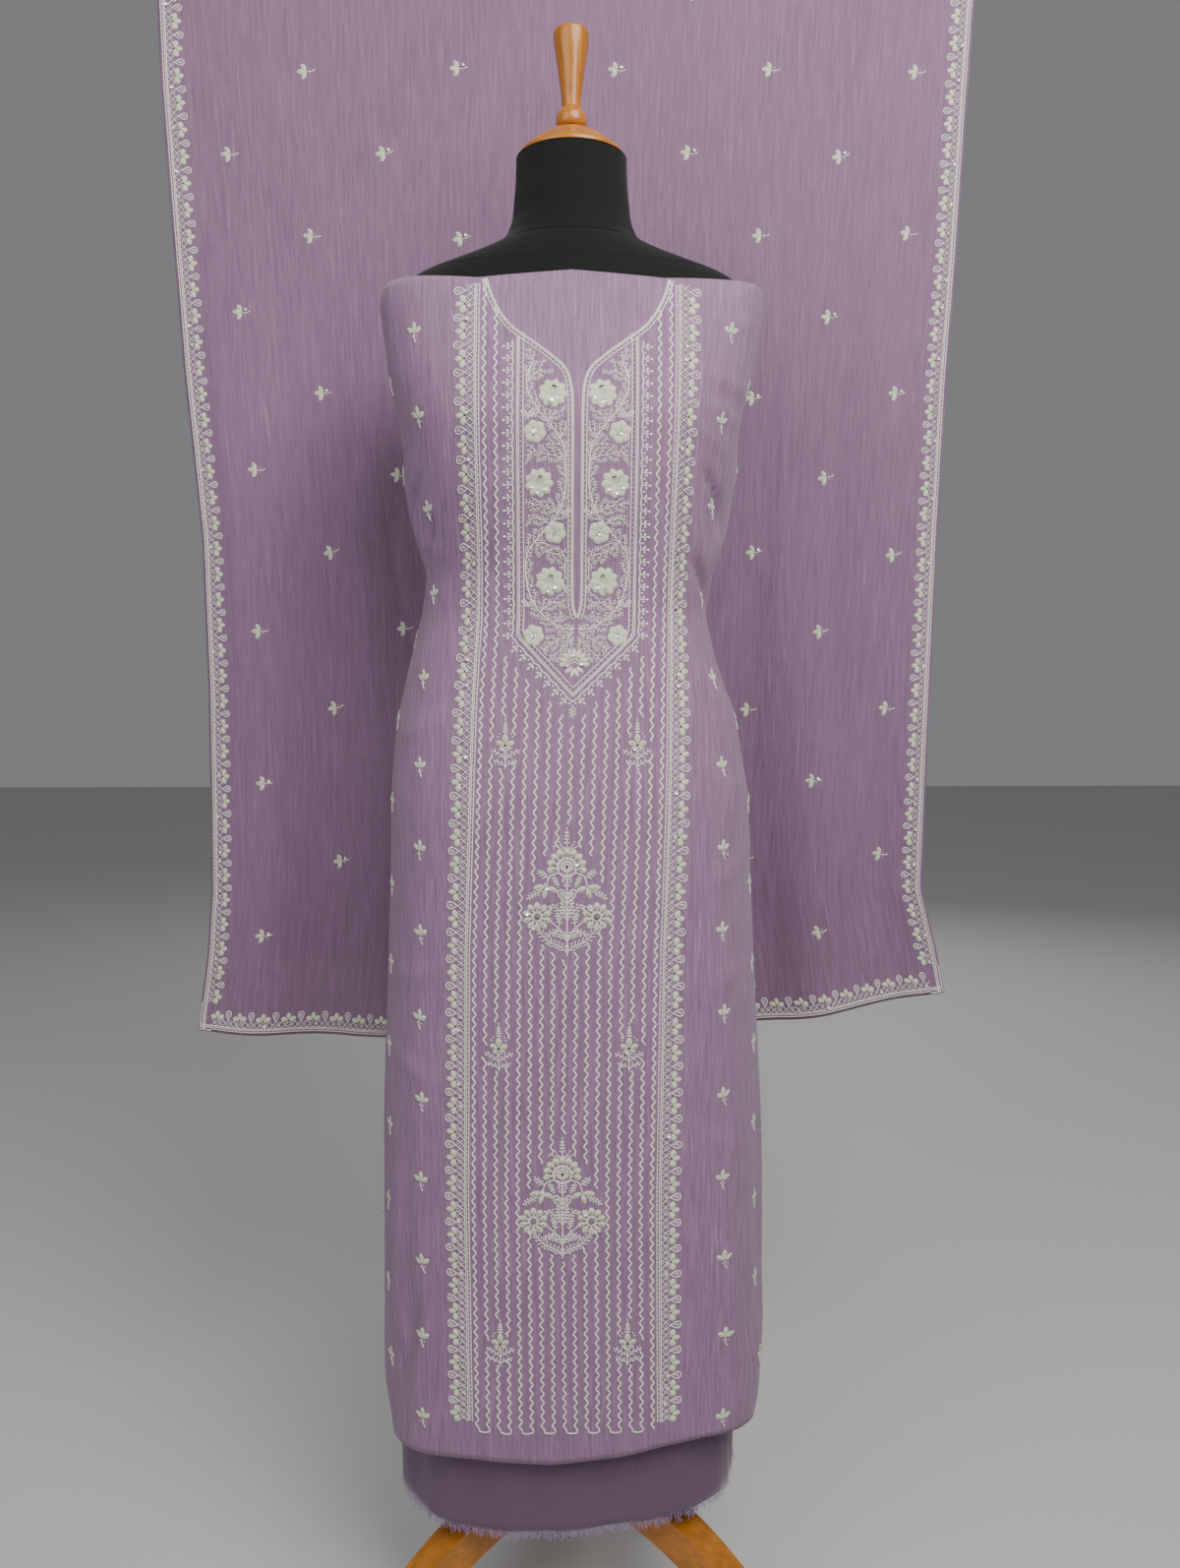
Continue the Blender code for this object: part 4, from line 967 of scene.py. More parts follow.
# ---------------------------------------------------------------- the kameez's embroidery
NECK_LINE = (0.0830 + 1.3565j, 0.0785 + 1.3420j, 0.0705 + 1.3250j, 0.0590 + 1.3105j, 0.0420 + 1.2975j,
             0.0242 + 1.2840j, 0.0104 + 1.2705j, 0.0052 + 1.2540j, 0.0040 + 1.2330j, 0.0038 + 1.1800j,
             0.0037 + 1.1200j, 0.0036 + 1.0700j, 0.0024 + 1.0580j, 0.0000 + 1.0500j)
YOKE_VINE = (0.0010 + 1.0400j, 0.0100 + 1.0400j, 0.0208 + 1.0440j, 0.0388 + 1.0615j, 0.0465 + 1.0855j,
             0.0455 + 1.1080j, 0.0318 + 1.1255j, 0.0176 + 1.1430j, 0.0110 + 1.1630j, 0.0106 + 1.1805j,
             0.0122 + 1.2000j,
             0.0208 + 1.2150j, 0.0346 + 1.2320j, 0.0443 + 1.2490j, 0.0455 + 1.2640j, 0.0396 + 1.2762j)
# Side branches, and for each pair of outlined leaves its base and the way it points.
YOKE_BRANCHES = (
    (0.0270 + 1.2225j, 0.0200 + 1.2300j, 0.0125 + 1.2310j),
    (0.0160 + 1.2080j, 0.0118 + 1.2150j, 0.0105 + 1.2230j),
    (0.0346 + 1.2320j, 0.0405 + 1.2275j, 0.0455 + 1.2290j),
    (0.0112 + 1.1880j, 0.0190 + 1.1925j, 0.0290 + 1.1945j, 0.0400 + 1.1965j, 0.0450 + 1.1920j),
    (0.0125 + 1.2010j, 0.0190 + 1.2030j, 0.0270 + 1.2035j),
    (0.0176 + 1.1430j, 0.0270 + 1.1480j, 0.0370 + 1.1505j, 0.0450 + 1.1480j),
    (0.0250 + 1.1335j, 0.0340 + 1.1385j, 0.0440 + 1.1380j),
    (0.0395 + 1.1190j, 0.0300 + 1.1110j, 0.0200 + 1.1075j, 0.0115 + 1.1060j),
    (0.0115 + 1.1060j, 0.0106 + 1.0950j, 0.0110 + 1.0840j),
    (0.0330 + 1.0560j, 0.0250 + 1.0625j, 0.0170 + 1.0640j, 0.0108 + 1.0610j),
    (0.0208 + 1.0440j, 0.0160 + 1.0505j, 0.0105 + 1.0520j),
    (0.0020 + 1.0370j, 0.0120 + 1.0320j, 0.0220 + 1.0265j, 0.0300 + 1.0200j),
    (0.0020 + 1.0330j, 0.0090 + 1.0245j, 0.0185 + 1.0165j, 0.0240 + 1.0110j),
    (0.0455 + 1.2580j, 0.0385 + 1.2660j, 0.0320 + 1.2700j),
    (0.0396 + 1.2762j, 0.0425 + 1.2830j, 0.0440 + 1.2890j),
)
YOKE_LEAVES = (0.0450 + 1.0600j, -0.1 + 1.0j, 0.0128 + 1.1420j, -0.2 + 1.0j, 0.0445 + 1.2270j, 0.0 + 1.0j,
               0.0120 + 1.0800j, 0.3 - 1.0j)
# Flowers on each half of the yoke.
Flower = namedtuple("Flower", "across height radius petals sequins")

YOKE_FLOWERS = (
    Flower(0.0222, 1.2480, 0.0134, 9, 2), Flower(0.0382, 1.2140, 0.0104, 6, 1),
    Flower(0.0345, 1.1695, 0.0132, 9, 4), Flower(0.0202, 1.1265, 0.0104, 6, 1),
    Flower(0.0248, 1.0830, 0.0136, 9, 2), Flower(0.0388, 1.0340, 0.0100, 6, 1),
)


def panel_pen(work, sequins, mirror=False):
    """A pen for the whole panel, that follows its drifting middle."""
    pen = Pen(work, sequins, 0, mirror=mirror)
    straight = pen.at
    pen.at = lambda spots: straight(spots) + panel_middle(np.asarray(straight(spots)).imag)
    return pen


def yoke_line(out):
    """The yoke's frame on the right side, moved outward: down from the top, then in to its point."""
    return np.array([YOKE_HALF + out + 1j * (YOKE_TOP - 0.003 - 0.7 * out),
                     YOKE_HALF + out + 1j * (YOKE_SHOULDER - 0.41 * out),
                     1j * (YOKE_POINT - 1.42 * out)])


def zigzag(low, high, offset):
    """One zigzag line up the panel."""
    heights = np.arange(low, high, ZIGZAG_PERIOD / 8)
    phase = 2 * pi * heights / ZIGZAG_PERIOD
    wave = ZIGZAG_REACH * (np.sin(phase) - 0.10 * np.sin(3 * phase))
    return panel_middle(heights) + offset + wave + 1j * heights


def clear_spans(offset, low, high):
    """The stretches of a zigzag line that no boota interrupts."""
    heights = np.arange(low, high, ZIGZAG_PERIOD / 8)
    open_here = np.ones(len(heights), bool)
    for motif in BOOTAS:
        table = BOOTA_CLEAR[motif.kind]
        half = np.interp(heights - motif.height, [row.height for row in table], [row.half for row in table],
                         -1.0, -1.0)
        open_here &= np.abs(offset - motif.across) > half
    edges = np.flatnonzero(np.diff(np.concatenate([[0], open_here.astype(int), [0]])))
    return [(heights[a], heights[b - 1]) for a, b in zip(edges[::2], edges[1::2]) if b - a > 12]


def stitch_zigzags(work):
    """The panel's upright zigzag lines, joined in pairs at their ends as a machine leaves them."""
    half = ZIGZAG_LINES // 2
    spans_low = PANEL_BOTTOM
    for line in range(-half, half + 1):
        offset = line * ZIGZAG_GAP
        if abs(line) == half:
            top = PANEL_TOP
        elif abs(line) == half - 1:
            top = PANEL_TOP - 0.025
        else:
            top = YOKE_POINT - 0.0262 + abs(offset) * (YOKE_SHOULDER - YOKE_POINT) / YOKE_HALF
        for low, high in clear_spans(offset, spans_low, top):
            path = zigzag(low, high, offset)
            if low > spans_low + 0.01:
                path = np.concatenate([[path[0] + 0.0016 - 0.0010j, path[0] + 0.0006 - 0.0012j], path])
            if high < top - 0.01:
                path = np.concatenate([path, [path[-1] - 0.0006 + 0.0012j, path[-1] - 0.0016 + 0.0010j]])
            work.cord(path, 0.0016, 0.0009)
    for line in range(-half, half, 2):
        ends = [zigzag(PANEL_BOTTOM, PANEL_BOTTOM + 0.002, k * ZIGZAG_GAP)[0] for k in (line, line + 1)]
        middle = sum(ends) / 2
        work.cord(curve_through([ends[0], ends[0] * 0.85 + middle * 0.15 - 0.0026j, middle - 0.0036j,
                                 ends[1] * 0.85 + middle * 0.15 - 0.0026j, ends[1]]), 0.0015)


def stitch_bands(work, sequins, random):
    """The two upright borders at the panel's sides."""
    length = PANEL_TOP - 0.004 - BORDER_END
    for side in (-1, 1):
        edging(work, sequins, lambda run, out: (panel_middle(BORDER_END + run) + side * (BORDER_BASE + out)
                                                + 1j * (BORDER_END + run)), length, 0.0255, random)


def stitch_yoke(work, sequins, random):
    """Neckline, slit, yoke frame, its leafy trail, and the vine and flowers inside."""
    for mirror in (False, True):
        pen = panel_pen(work, sequins, mirror)
        neck = curve_through(NECK_LINE, 6)
        normal = np.gradient(neck)
        normal = 1j * normal / np.abs(normal)
        for out in (0.0, 0.0014, 0.0044):
            line = neck + normal * out
            work.cord(pen.at(line[line.real > -0.0001]), 0.0011)
        filling = neck + normal * 0.0029
        for number, spot in enumerate(even_path(filling[filling.real > 0.0004], 0.0022)):
            work.seed(complex(pen.at(spot)), 0.00055, (CREAM, SHADOW)[number % 2])
        for out in (0.0, -0.0016, -0.0056):
            work.cord(pen.at(even_path(yoke_line(out), 0.006)), 0.0011)
        for number, spot in enumerate(even_path(yoke_line(-0.0036), 0.0022)):
            work.seed(complex(pen.at(spot)), 0.00055, (CREAM, SHADOW)[number % 2])
        trail = even_path(yoke_line(TRAIL_OFFSET - 0.0044), 0.0014)
        run = np.arange(len(trail)) * 0.0014
        side = np.gradient(trail)
        side = 1j * side / np.abs(side)
        work.cord(pen.at(trail + side * 0.0005 * np.sin(2 * pi * run / 0.0113)), 0.0013)
        for number, (spot, way) in enumerate(list(zip(trail, side))[4::4]):
            if number % 2:
                grain(pen, spot, way, 0.0038, 0.0028)
                continue
            pen.stem([spot, spot + way * 0.0058], 0.0010, steps=1)
            for lean, reach, size in ((0.0, 0.0046, 0.0038), (0.85, 0.0044, 0.0036), (-0.85, 0.0044, 0.0036)):
                grain(pen, spot + way * (0.0026 if lean else 0.0052), way * np.exp(1j * lean), reach, size)
        if not mirror:
            tip = pen.inner(1j * (YOKE_POINT - 1.42 * TRAIL_OFFSET + 0.0045), turn=pi)
            twig(tip, [0.0j, 0.0040j, 0.0085j], 0.0036, 0.0030)
        stitch_vine(pen)
    middle = panel_pen(work, sequins)
    lotus = middle.inner(1.0075j)
    bloom(lotus, 0.0145, 9, spread=3.6, middle=0.32, centre=False, gap=1.75, marked=False)
    for radius in (0.0022, 0.0046):
        lotus.stem([radius * up(angle) for angle in np.linspace(-1.7, 1.7, 7)], 0.0011, steps=2)
    for k in range(7):
        lotus.seed(0.0072 * up(-1.4 + 2.8 * k / 6), 0.0006)
    for spot in (-0.0068 - 0.0005j, 0.0072 + 0.0006j, -0.0020 + 0.0088j, 0.0050 + 0.0085j):
        lotus.sequin(spot, 0.0014)
    for half in half_pens(lotus):
        half.petal(0.0020 - 0.0030j, 0.0085 - 0.0078j, 0.0036, full=1.0, thread=CREAM)
        half.petal(0.0004 - 0.0042j, 0.0032 - 0.0118j, 0.0032, full=1.0, thread=CREAM)


class Thicket:
    """Fills the room left between flowers with berried stalks that never touch one another."""

    def __init__(self, pen, inside):
        self.pen, self.inside = pen, inside
        self.spots, self.radii = [], []

    def keep_clear(self, spots, radius):
        spots = np.atleast_1d(spots)
        self.spots.extend(spots)
        self.radii.extend([radius] * len(spots))

    def free(self, spot, radius, near=0.0, base=0.0):
        gaps = np.abs(np.array(self.spots) - spot) - np.array(self.radii)
        if near:
            gaps = gaps[np.abs(np.array(self.spots) - base) > near]
        return self.inside(spot) and bool((gaps > radius).all())

    def stalk(self, base, way, reach, curl):
        """True if a stalk with berries fitted."""
        path = base + way * reach * np.linspace(0, 1, 6) * np.exp(1j * curl * np.linspace(0, 1, 6))
        if not all(self.free(spot, 0.0008, 0.0016, base) for spot in path[2:]):
            return False
        self.pen.stem(path, 0.0009, steps=1)
        ahead = np.gradient(path)
        ahead /= np.abs(ahead)
        tips = []
        for k in range(2, 6):
            for side in (1, -1):
                spot = path[k] + ahead[k] * np.exp(0.95j * side) * 0.0024
                if self.free(spot, 0.0010) and all(abs(spot - other) > 0.0020 for other in tips):
                    grain(self.pen, path[k], ahead[k] * np.exp(0.95j * side), 0.0030, 0.0019)
                    tips.append(spot)
        if self.free(path[-1] + ahead[-1] * 0.0022, 0.0008, 0.0, base):
            grain(self.pen, path[-1], ahead[-1], 0.0028, 0.0022)
            tips.append(path[-1] + ahead[-1] * 0.0018)
        self.keep_clear(path[1:], 0.0004)
        if tips:
            self.keep_clear(np.array(tips), 0.0008)
        return True

    def fill(self, path, gap, reaches, turn):
        """Stalks along both sides of a stem, each as long as its room allows."""
        path = even_path(path, gap)
        ahead = np.gradient(path)
        ahead /= np.abs(ahead)
        for k in range(1, len(path) - 1):
            for side in (1, -1):
                for reach in reaches:
                    if self.stalk(path[k], ahead[k] * np.exp(1j * turn * side), reach, -0.35 * side):
                        break


def yoke_inside(spot):
    """True on the right half of the yoke's filling, inside its frame and clear of neckline and slit."""
    x, z = spot.real, spot.imag
    line = NECK_LINE[6::-1]
    neck = np.interp(x, [point.real for point in line], [point.imag for point in line])
    return (x < 0.0474 and x > (0.0092 if z > 1.052 else 0.0006) and z > YOKE_POINT + 0.0100 + x * 1.009
            and z < neck - 0.0080)


def leaf_pair(pen, spot, way, size=0.0078):
    """Two outlined leaves, with a mark in each."""
    for side in (1, -1):
        tip = spot + way * np.exp(0.75j * side) * size
        pen.teardrop(spot, tip, size * 0.46, swirl=False)
        pen.petal(spot + (tip - spot) * 0.30, spot + (tip - spot) * 0.86, size * 0.24, full=1.1, rise=0.0010,
                  rows=3)


def stitch_vine(pen):
    """One half of the yoke's filling: a winding vine, its flowers and leaves, then berries in the gaps."""
    thicket = Thicket(pen, yoke_inside)
    for number, flower in enumerate(YOKE_FLOWERS):
        centre = flower.across + 1j * flower.height
        head = pen.inner(centre, turn=0.25 * (-1) ** number)
        big = flower.petals > 6
        bloom(head, flower.radius, flower.petals, middle=0.12, centre=False, gap=1.85, marked=False)
        if big:
            inner = head.inner(0.0012j, size=0.70)
            bloom(inner, flower.radius * 0.66, 7, spread=4.4, middle=0.22, centre=False, gap=1.75,
                  marked=False)
            head.petal(-0.0026 + 0.0052j, 0.0026 + 0.0056j, 0.0012, full=1.0, rise=0.0036, thread=BEAD,
                       rows=3, bend=0.15)
        else:
            head.stem([0.0026 * up(angle) for angle in np.linspace(0.0, 2 * pi, 9)], 0.0010, steps=2)
            head.bead(0, 0.0012, SHADOW)
        for k in range(flower.sequins):
            head.sequin(flower.radius * (0.55 if flower.sequins > 1 else 0.0) * up(2.0 + 1.05 * k), 0.0016)
        thicket.keep_clear(centre, flower.radius + 0.0002)
    vine = curve_through(YOKE_VINE, 6)
    pen.work.cord(pen.at(vine), 0.0013)
    thicket.keep_clear(even_path(vine, 0.0012), 0.0003)
    for spot, way in zip(YOKE_LEAVES[::2], YOKE_LEAVES[1::2]):
        leaf_pair(pen, spot, way / abs(way))
        thicket.keep_clear(spot + way / abs(way) * np.exp(np.array((0.75j, -0.75j))) * 0.0048, 0.0024)
    branches = [curve_through(spots) for spots in YOKE_BRANCHES]
    for branch in branches:
        pen.work.cord(pen.at(branch), 0.0010)
        thicket.keep_clear(even_path(branch, 0.0012), 0.0003)
    for route in (*branches, vine):
        thicket.fill(route, 0.0030, (0.0105, 0.0080, 0.0060, 0.0042, 0.0030), 0.95)
    for route in (*branches, vine):
        thicket.fill(route, 0.0017, (0.0034, 0.0022), 1.25)


def stitch_bootas(work, sequins):
    for motif in BOOTAS:
        place = complex(panel_middle(motif.height) + motif.across + 1j * motif.height)
        (large_boota if motif.kind == "large" else small_boota)(Pen(work, sequins, place))


def stitch_butis(work, sequins, random):
    """Small sprigs in half-drop columns on the rest of the cloth."""
    for side in (-1, 1):
        for column in range(BUTI_COLUMNS):
            across = side * (BUTI_FIRST + BUTI_COLUMN_GAP * column)
            for row in range(14):
                height = 1.312 - BUTI_STEP * row - (BUTI_STEP / 2 if column % 2 else 0.0)
                if 0.262 < height < 1.345 and abs(across) < 0.552:
                    place = (across + random.uniform(-0.002, 0.002)
                             + 1j * (height + random.uniform(-0.002, 0.002)))
                    sprig(Pen(work, sequins, place, turn=random.uniform(-0.12, 0.12)), 0.0106,
                          random.uniform() < 0.18, 1.02, 0.50)


def embroider_kameez():
    surface, skin = kameez_surface(), suit().cloth.kameez_wall / 2 + 0.0001
    random = np.random.default_rng(RANDOM_SEED + 11)
    sequins = Sequins(surface, skin, 12)
    thread = thread_material()
    for name, stitch in (
        ("kameez_zigzag_lines", lambda work: stitch_zigzags(work)),
        ("kameez_side_bands", lambda work: stitch_bands(work, sequins, random)),
        ("kameez_neck_and_yoke", lambda work: stitch_yoke(work, sequins, random)),
        ("kameez_bootas", lambda work: stitch_bootas(work, sequins)),
        ("kameez_butis", lambda work: stitch_butis(work, sequins, random)),
    ):
        work = Needlework(surface, skin)
        stitch(work)
        work.piece(name, thread, "embroidery_thread")
    sequins.piece("kameez_sequins", sequin_material(), "sequins")


# ---------------------------------------------------------------- the dupatta's embroidery
def dupatta_edge(side):
    """spot_at(run, out) for one selvedge, from the front hem to the back one; out points to the middle."""
    low, high = front_hem_along(side * 0.4625), back_hem_along(side * 0.4625)

    def spot_at(run, out):
        return side * (DUPATTA_WIDTH / 2 - DUPATTA_BORDER - out) + 1j * (low + run)
    return spot_at, high - low


def dupatta_hem(along_of, way):
    """spot_at(run, out) for one hem, between the side borders; way is +1 where the cloth is above it."""
    half = DUPATTA_WIDTH / 2 - 0.0035

    def spot_at(run, out):
        across = -half + run
        return across + 1j * (along_of(across) + way * (DUPATTA_BORDER + out))
    return spot_at, 2 * half


def front_hem_along(across):
    return read_edge(FRONT_DUPATTA_HEM, across) - ROD_HEIGHT


def back_hem_along(across):
    return FOLD_LENGTH + ROD_HEIGHT - read_edge(BACK_DUPATTA_HEM, across)


def embroider_dupatta():
    surface, skin = dupatta_surface(), suit().cloth.dupatta_wall / 2 + 0.0001
    random = np.random.default_rng(RANDOM_SEED + 21)
    sequins = Sequins(surface, skin, 22)
    border = Needlework(surface, skin)
    for side in (-1, 1):
        spot_at, length = dupatta_edge(side)
        edging(border, sequins, lambda run, out: spot_at(run + 0.034, out), length - 0.068, 0.029, random)
        for depth in (0.0095, 0.0118, 0.0152):
            for start in (0.001, length - 0.034):
                border.cord(spot_at(np.linspace(start, start + 0.033, 6), -depth), 0.0013)
    for along_of, way in ((front_hem_along, 1), (back_hem_along, -1)):
        spot_at, length = dupatta_hem(along_of, way)
        edging(border, sequins, lambda run, out: spot_at(run + 0.013, out), length - 0.026, 0.029, random)
        for depth in (0.0095, 0.0118, 0.0152):
            for start in (0.0, length - 0.013):
                border.cord(spot_at(np.linspace(start, start + 0.013, 3), -depth), 0.0013)
    thread = thread_material()
    made = [border.piece("dupatta_border", thread, "embroidery_thread")]
    butis = Needlework(surface, skin)
    for column in range(DUPATTA_BUTI_COLUMNS):
        across = DUPATTA_BUTI_FIRST + DUPATTA_BUTI_GAP * column
        for row in range(28):
            along = (DUPATTA_BUTI_HEIGHT - ROD_HEIGHT + DUPATTA_BUTI_STEP * 2 * (row - 5)
                     - DUPATTA_BUTI_STEP * (column % 2))
            between_hems = front_hem_along(across) + 0.055 < along < back_hem_along(across) - 0.055
            if between_hems and abs(across) < 0.42:
                place = across + random.uniform(-0.004, 0.004) + 1j * (along + random.uniform(-0.004, 0.004))
                sprig(Pen(butis, sequins, place, turn=pi / 2 + random.uniform(-0.2, 0.2)), 0.0112,
                      random.uniform() < 0.3)
    made.append(butis.piece("dupatta_butis", thread, "embroidery_thread"))
    made.append(sequins.piece("dupatta_sequins", sequin_material(), "sequins"))


# ---------------------------------------------------------------- the cloths
def make_kameez():
    sheet_piece("kameez_cloth", kameez_surface(), lambda a: read_edge(KAMEEZ_TOP_EDGE, a),
                lambda a: read_edge(KAMEEZ_HEM, a), 0.10, suit().cloth.kameez_wall, kameez_material(),
                "kameez_crepe", "kameez")


def make_salwar():
    cloth = sheet_piece("salwar_cloth", salwar_surface(), lambda a: np.full_like(a, SALWAR_TOP),
                        lambda a: read_edge(SALWAR_HEM, a), 0.09, suit().cloth.salwar_wall, salwar_material(),
                        "salwar_crepe", "salwar")
    fringe = make_fringe()


def make_fringe():
    """The frayed edge: loose threads that curl from the hem, each in its own way."""
    surface, random = salwar_surface(), np.random.default_rng(RANDOM_SEED + 31)
    work = Needlework(surface, 0.0)
    for across in np.arange(-0.5285, 0.5285, 0.00075):
        hem = float(read_edge(SALWAR_HEM, across))
        length, lean = random.uniform(0.0035, 0.0105), random.normal(0.0, 0.0022)
        curl = random.normal(0.0, 0.0016)
        spots = [across + 1j * (hem + 0.0022), across + lean * 0.3 + 1j * (hem - length * 0.35),
                 across + lean * 0.7 + curl + 1j * (hem - length * 0.7), across + lean + 1j * (hem - length)]
        path = curve_through(spots, 2)
        run = np.linspace(0, 1, len(path))
        lift = random.uniform(-0.0003, 0.0003) + run ** 1.5 * random.uniform(-0.0022, 0.0028)
        width = random.uniform(0.00028, 0.0005)
        side = np.gradient(path)
        side = 1j * side / np.abs(side) * width / 2
        spots = np.column_stack([path - side, path, path + side])
        lifts = np.column_stack([lift, lift + width * 0.6, lift])
        stitches = np.stack([np.tile(run[:, None], 3), np.tile((-1.0, 0.0, 1.0), (len(path), 1)),
                             np.full(spots.shape, random.uniform())], axis=-1)
        first = 3 * np.arange(len(path) - 1)
        quads = [np.column_stack([first + k, first + k + 3, first + k + 4, first + k + 1]) for k in (0, 1)]
        work.add(spots, lifts, stitches, np.concatenate(quads))
    fringe = work.piece("salwar_frayed_edge", fringe_material(), "salwar_crepe")
    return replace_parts(fringe, "salwar_fringe")


def make_dupatta():
    surface = dupatta_surface()
    s_low, s_high = surface.along[0], surface.along[-1]
    sheet_piece("dupatta_cloth", surface, back_hem_along, front_hem_along, 0.30, suit().cloth.dupatta_wall,
                voile_material(), "dupatta_voile", "dupatta")
    return s_low, s_high


# ---------------------------------------------------------------- materials
def suit():
    """The settings that the sidebar shows."""
    return bpy.context.scene.suit


class Finish:
    """A material built node by node round one Principled shader; fixed values sit on its own sockets."""

    def __init__(self, name, fixed):
        self.material = bpy.data.materials.new(name)
        self.material.use_nodes = True
        self.tree = self.material.node_tree
        self.shader = self.tree.nodes["Principled BSDF"]
        for socket, value in fixed.items():
            self.shader.inputs[socket].default_value = value

    def node(self, kind, sockets=None, **settings):
        made = self.tree.nodes.new("ShaderNode" + kind)
        for name, value in settings.items():
            setattr(made, name, value)
        for name, value in (sockets or {}).items():
            if isinstance(value, bpy.types.NodeSocket):
                self.tree.links.new(value, made.inputs[name])
            else:
                made.inputs[name].default_value = value
        return made

    def attribute(self, name):
        return self.node("Attribute", attribute_name=name).outputs["Vector"]

    def place(self):
        return self.node("TexCoord").outputs["Object"]

    def stretched(self, vector, by):
        return self.node("VectorMath", {0: vector, 1: by}, operation="MULTIPLY").outputs[0]

    def noise(self, vector, detail=2.0, roughness=0.5, distortion=0.0):
        return self.node("TexNoise", {"Vector": vector, "Scale": 1.0, "Detail": detail,
                                      "Roughness": roughness, "Distortion": distortion}).outputs["Fac"]

    def maths(self, operation, a, b):
        return self.node("Math", {0: a, 1: b}, operation=operation).outputs[0]

    def spread(self, value, low, high, to_low=0.0, to_high=1.0):
        return self.node("MapRange", {"Value": value, "From Min": low, "From Max": high, "To Min": to_low,
                                      "To Max": to_high}).outputs["Result"]

    def ramp(self, value, *stops):
        made = self.node("ValToRGB", {"Fac": value})
        bar = made.color_ramp
        while len(bar.elements) < len(stops):
            bar.elements.new(0.5)
        for element, (place, colour) in zip(bar.elements, stops):
            element.position, element.color = place, (*colour, 1.0)
        return made.outputs["Color"]

    def mix(self, share, a, b, blend="MIX"):
        made = self.node("Mix", data_type="RGBA", blend_type=blend)
        for index, value in ((0, share), (6, a), (7, b)):
            if isinstance(value, bpy.types.NodeSocket):
                self.tree.links.new(value, made.inputs[index])
            else:
                made.inputs[index].default_value = value if index == 0 else (*value, 1.0)
        return made.outputs[2]

    def bump(self, height, strength, distance, under=None):
        sockets = {"Height": height, "Strength": strength, "Distance": distance}
        if under is not None:
            sockets["Normal"] = under
        return self.node("Bump", sockets).outputs["Normal"]

    def finish(self, colour=None, roughness=None, normal=None):
        for name, value in (("Base Color", colour), ("Roughness", roughness), ("Normal", normal)):
            if value is not None:
                self.tree.links.new(value, self.shader.inputs[name])
        return self.material


def shade(colour, by):
    """A colour made lighter or darker, within what a finish can be."""
    return tuple(min(1.0, channel * by) for channel in colour[:3])


def woven(name, colour, fixed, streak, crinkle, thread, slub, depth):
    """A crinkled woven cloth: streaks and crinkles run up it, over a fine two-way weave."""
    finish = Finish(name, fixed)
    flat = finish.attribute("flat")
    lines = finish.noise(finish.stretched(flat, (streak, streak * 0.05, 1.0)), 3.0, 0.55, 0.9)
    waves = finish.noise(finish.stretched(flat, (crinkle, crinkle * 0.11, 1.0)), 3.0, 0.6, 0.5)
    patch = finish.noise(finish.stretched(flat, (7.0, 4.0, 1.0)), 2.0)
    warp = finish.noise(finish.stretched(flat, (thread, thread * 0.04, 1.0)), 1.0)
    weft = finish.noise(finish.stretched(flat, (thread * 0.04, thread, 1.0)), 1.0)
    weave = finish.maths("ADD", warp, weft)
    tint = finish.ramp(finish.spread(lines, 0.30, 0.72), (0.0, shade(colour, 1.0 - slub)),
                       (0.55, shade(colour, 1.0)),
                       (0.86, shade(colour, 1.0 + slub * 0.7)), (1.0, shade(colour, 1.0 + slub * 1.6)))
    tint = finish.mix(finish.spread(weave, 0.7, 1.3, 0.0, 0.30), tint, shade(colour, 0.72))
    tint = finish.mix(finish.spread(patch, 0.35, 0.65, 0.0, 0.22), tint, shade(colour, 1.16))
    rough = finish.spread(waves, 0.3, 0.7, 0.62, 0.84)
    normal = finish.bump(waves, 0.55 * depth, 0.0011)
    normal = finish.bump(lines, 0.35 * depth, 0.0007, normal)
    normal = finish.bump(weave, 0.22 * depth, 0.0003, normal)
    return finish.finish(tint, rough, normal)


def kameez_material():
    return woven("lilac_crinkle_crepe", suit().cloth.kameez_colour,
                 {"Sheen Weight": 0.16, "Sheen Roughness": 0.45, "Specular IOR Level": 0.28}, 420.0, 330.0,
                 2300.0, 0.28, 1.9)


def salwar_material():
    return woven("violet_plain_crepe", suit().cloth.salwar_colour,
                 {"Sheen Weight": 0.30, "Sheen Roughness": 0.40, "Specular IOR Level": 0.35}, 900.0, 260.0,
                 2600.0, 0.06, 0.45)


def voile_material():
    return woven("sheer_lilac_voile", suit().cloth.dupatta_colour,
                 {"Sheen Weight": 0.15, "Sheen Roughness": 0.45, "Specular IOR Level": 0.22,
                  "Alpha": suit().cloth.voile_cover}, 360.0, 260.0, 1400.0, 0.22, 1.2)


def fringe_material():
    finish = Finish("violet_loose_threads", {"Sheen Weight": 0.35, "Specular IOR Level": 0.3})
    colour = suit().cloth.fringe_colour
    stitch = finish.attribute("stitch")
    parts = finish.node("SeparateXYZ", {0: stitch})
    fuzz = finish.noise(finish.stretched(finish.place(), (2600.0, 2600.0, 900.0)), 2.0)
    tint = finish.ramp(parts.outputs["Z"], (0.0, shade(colour, 0.70)), (0.5, shade(colour, 1.0)),
                       (1.0, shade(colour, 1.45)))
    tint = finish.mix(finish.spread(fuzz, 0.35, 0.65, 0.0, 0.35), tint, shade(colour, 0.6))
    return finish.finish(tint, finish.spread(fuzz, 0.3, 0.7, 0.6, 0.8), finish.bump(fuzz, 0.5, 0.0004))


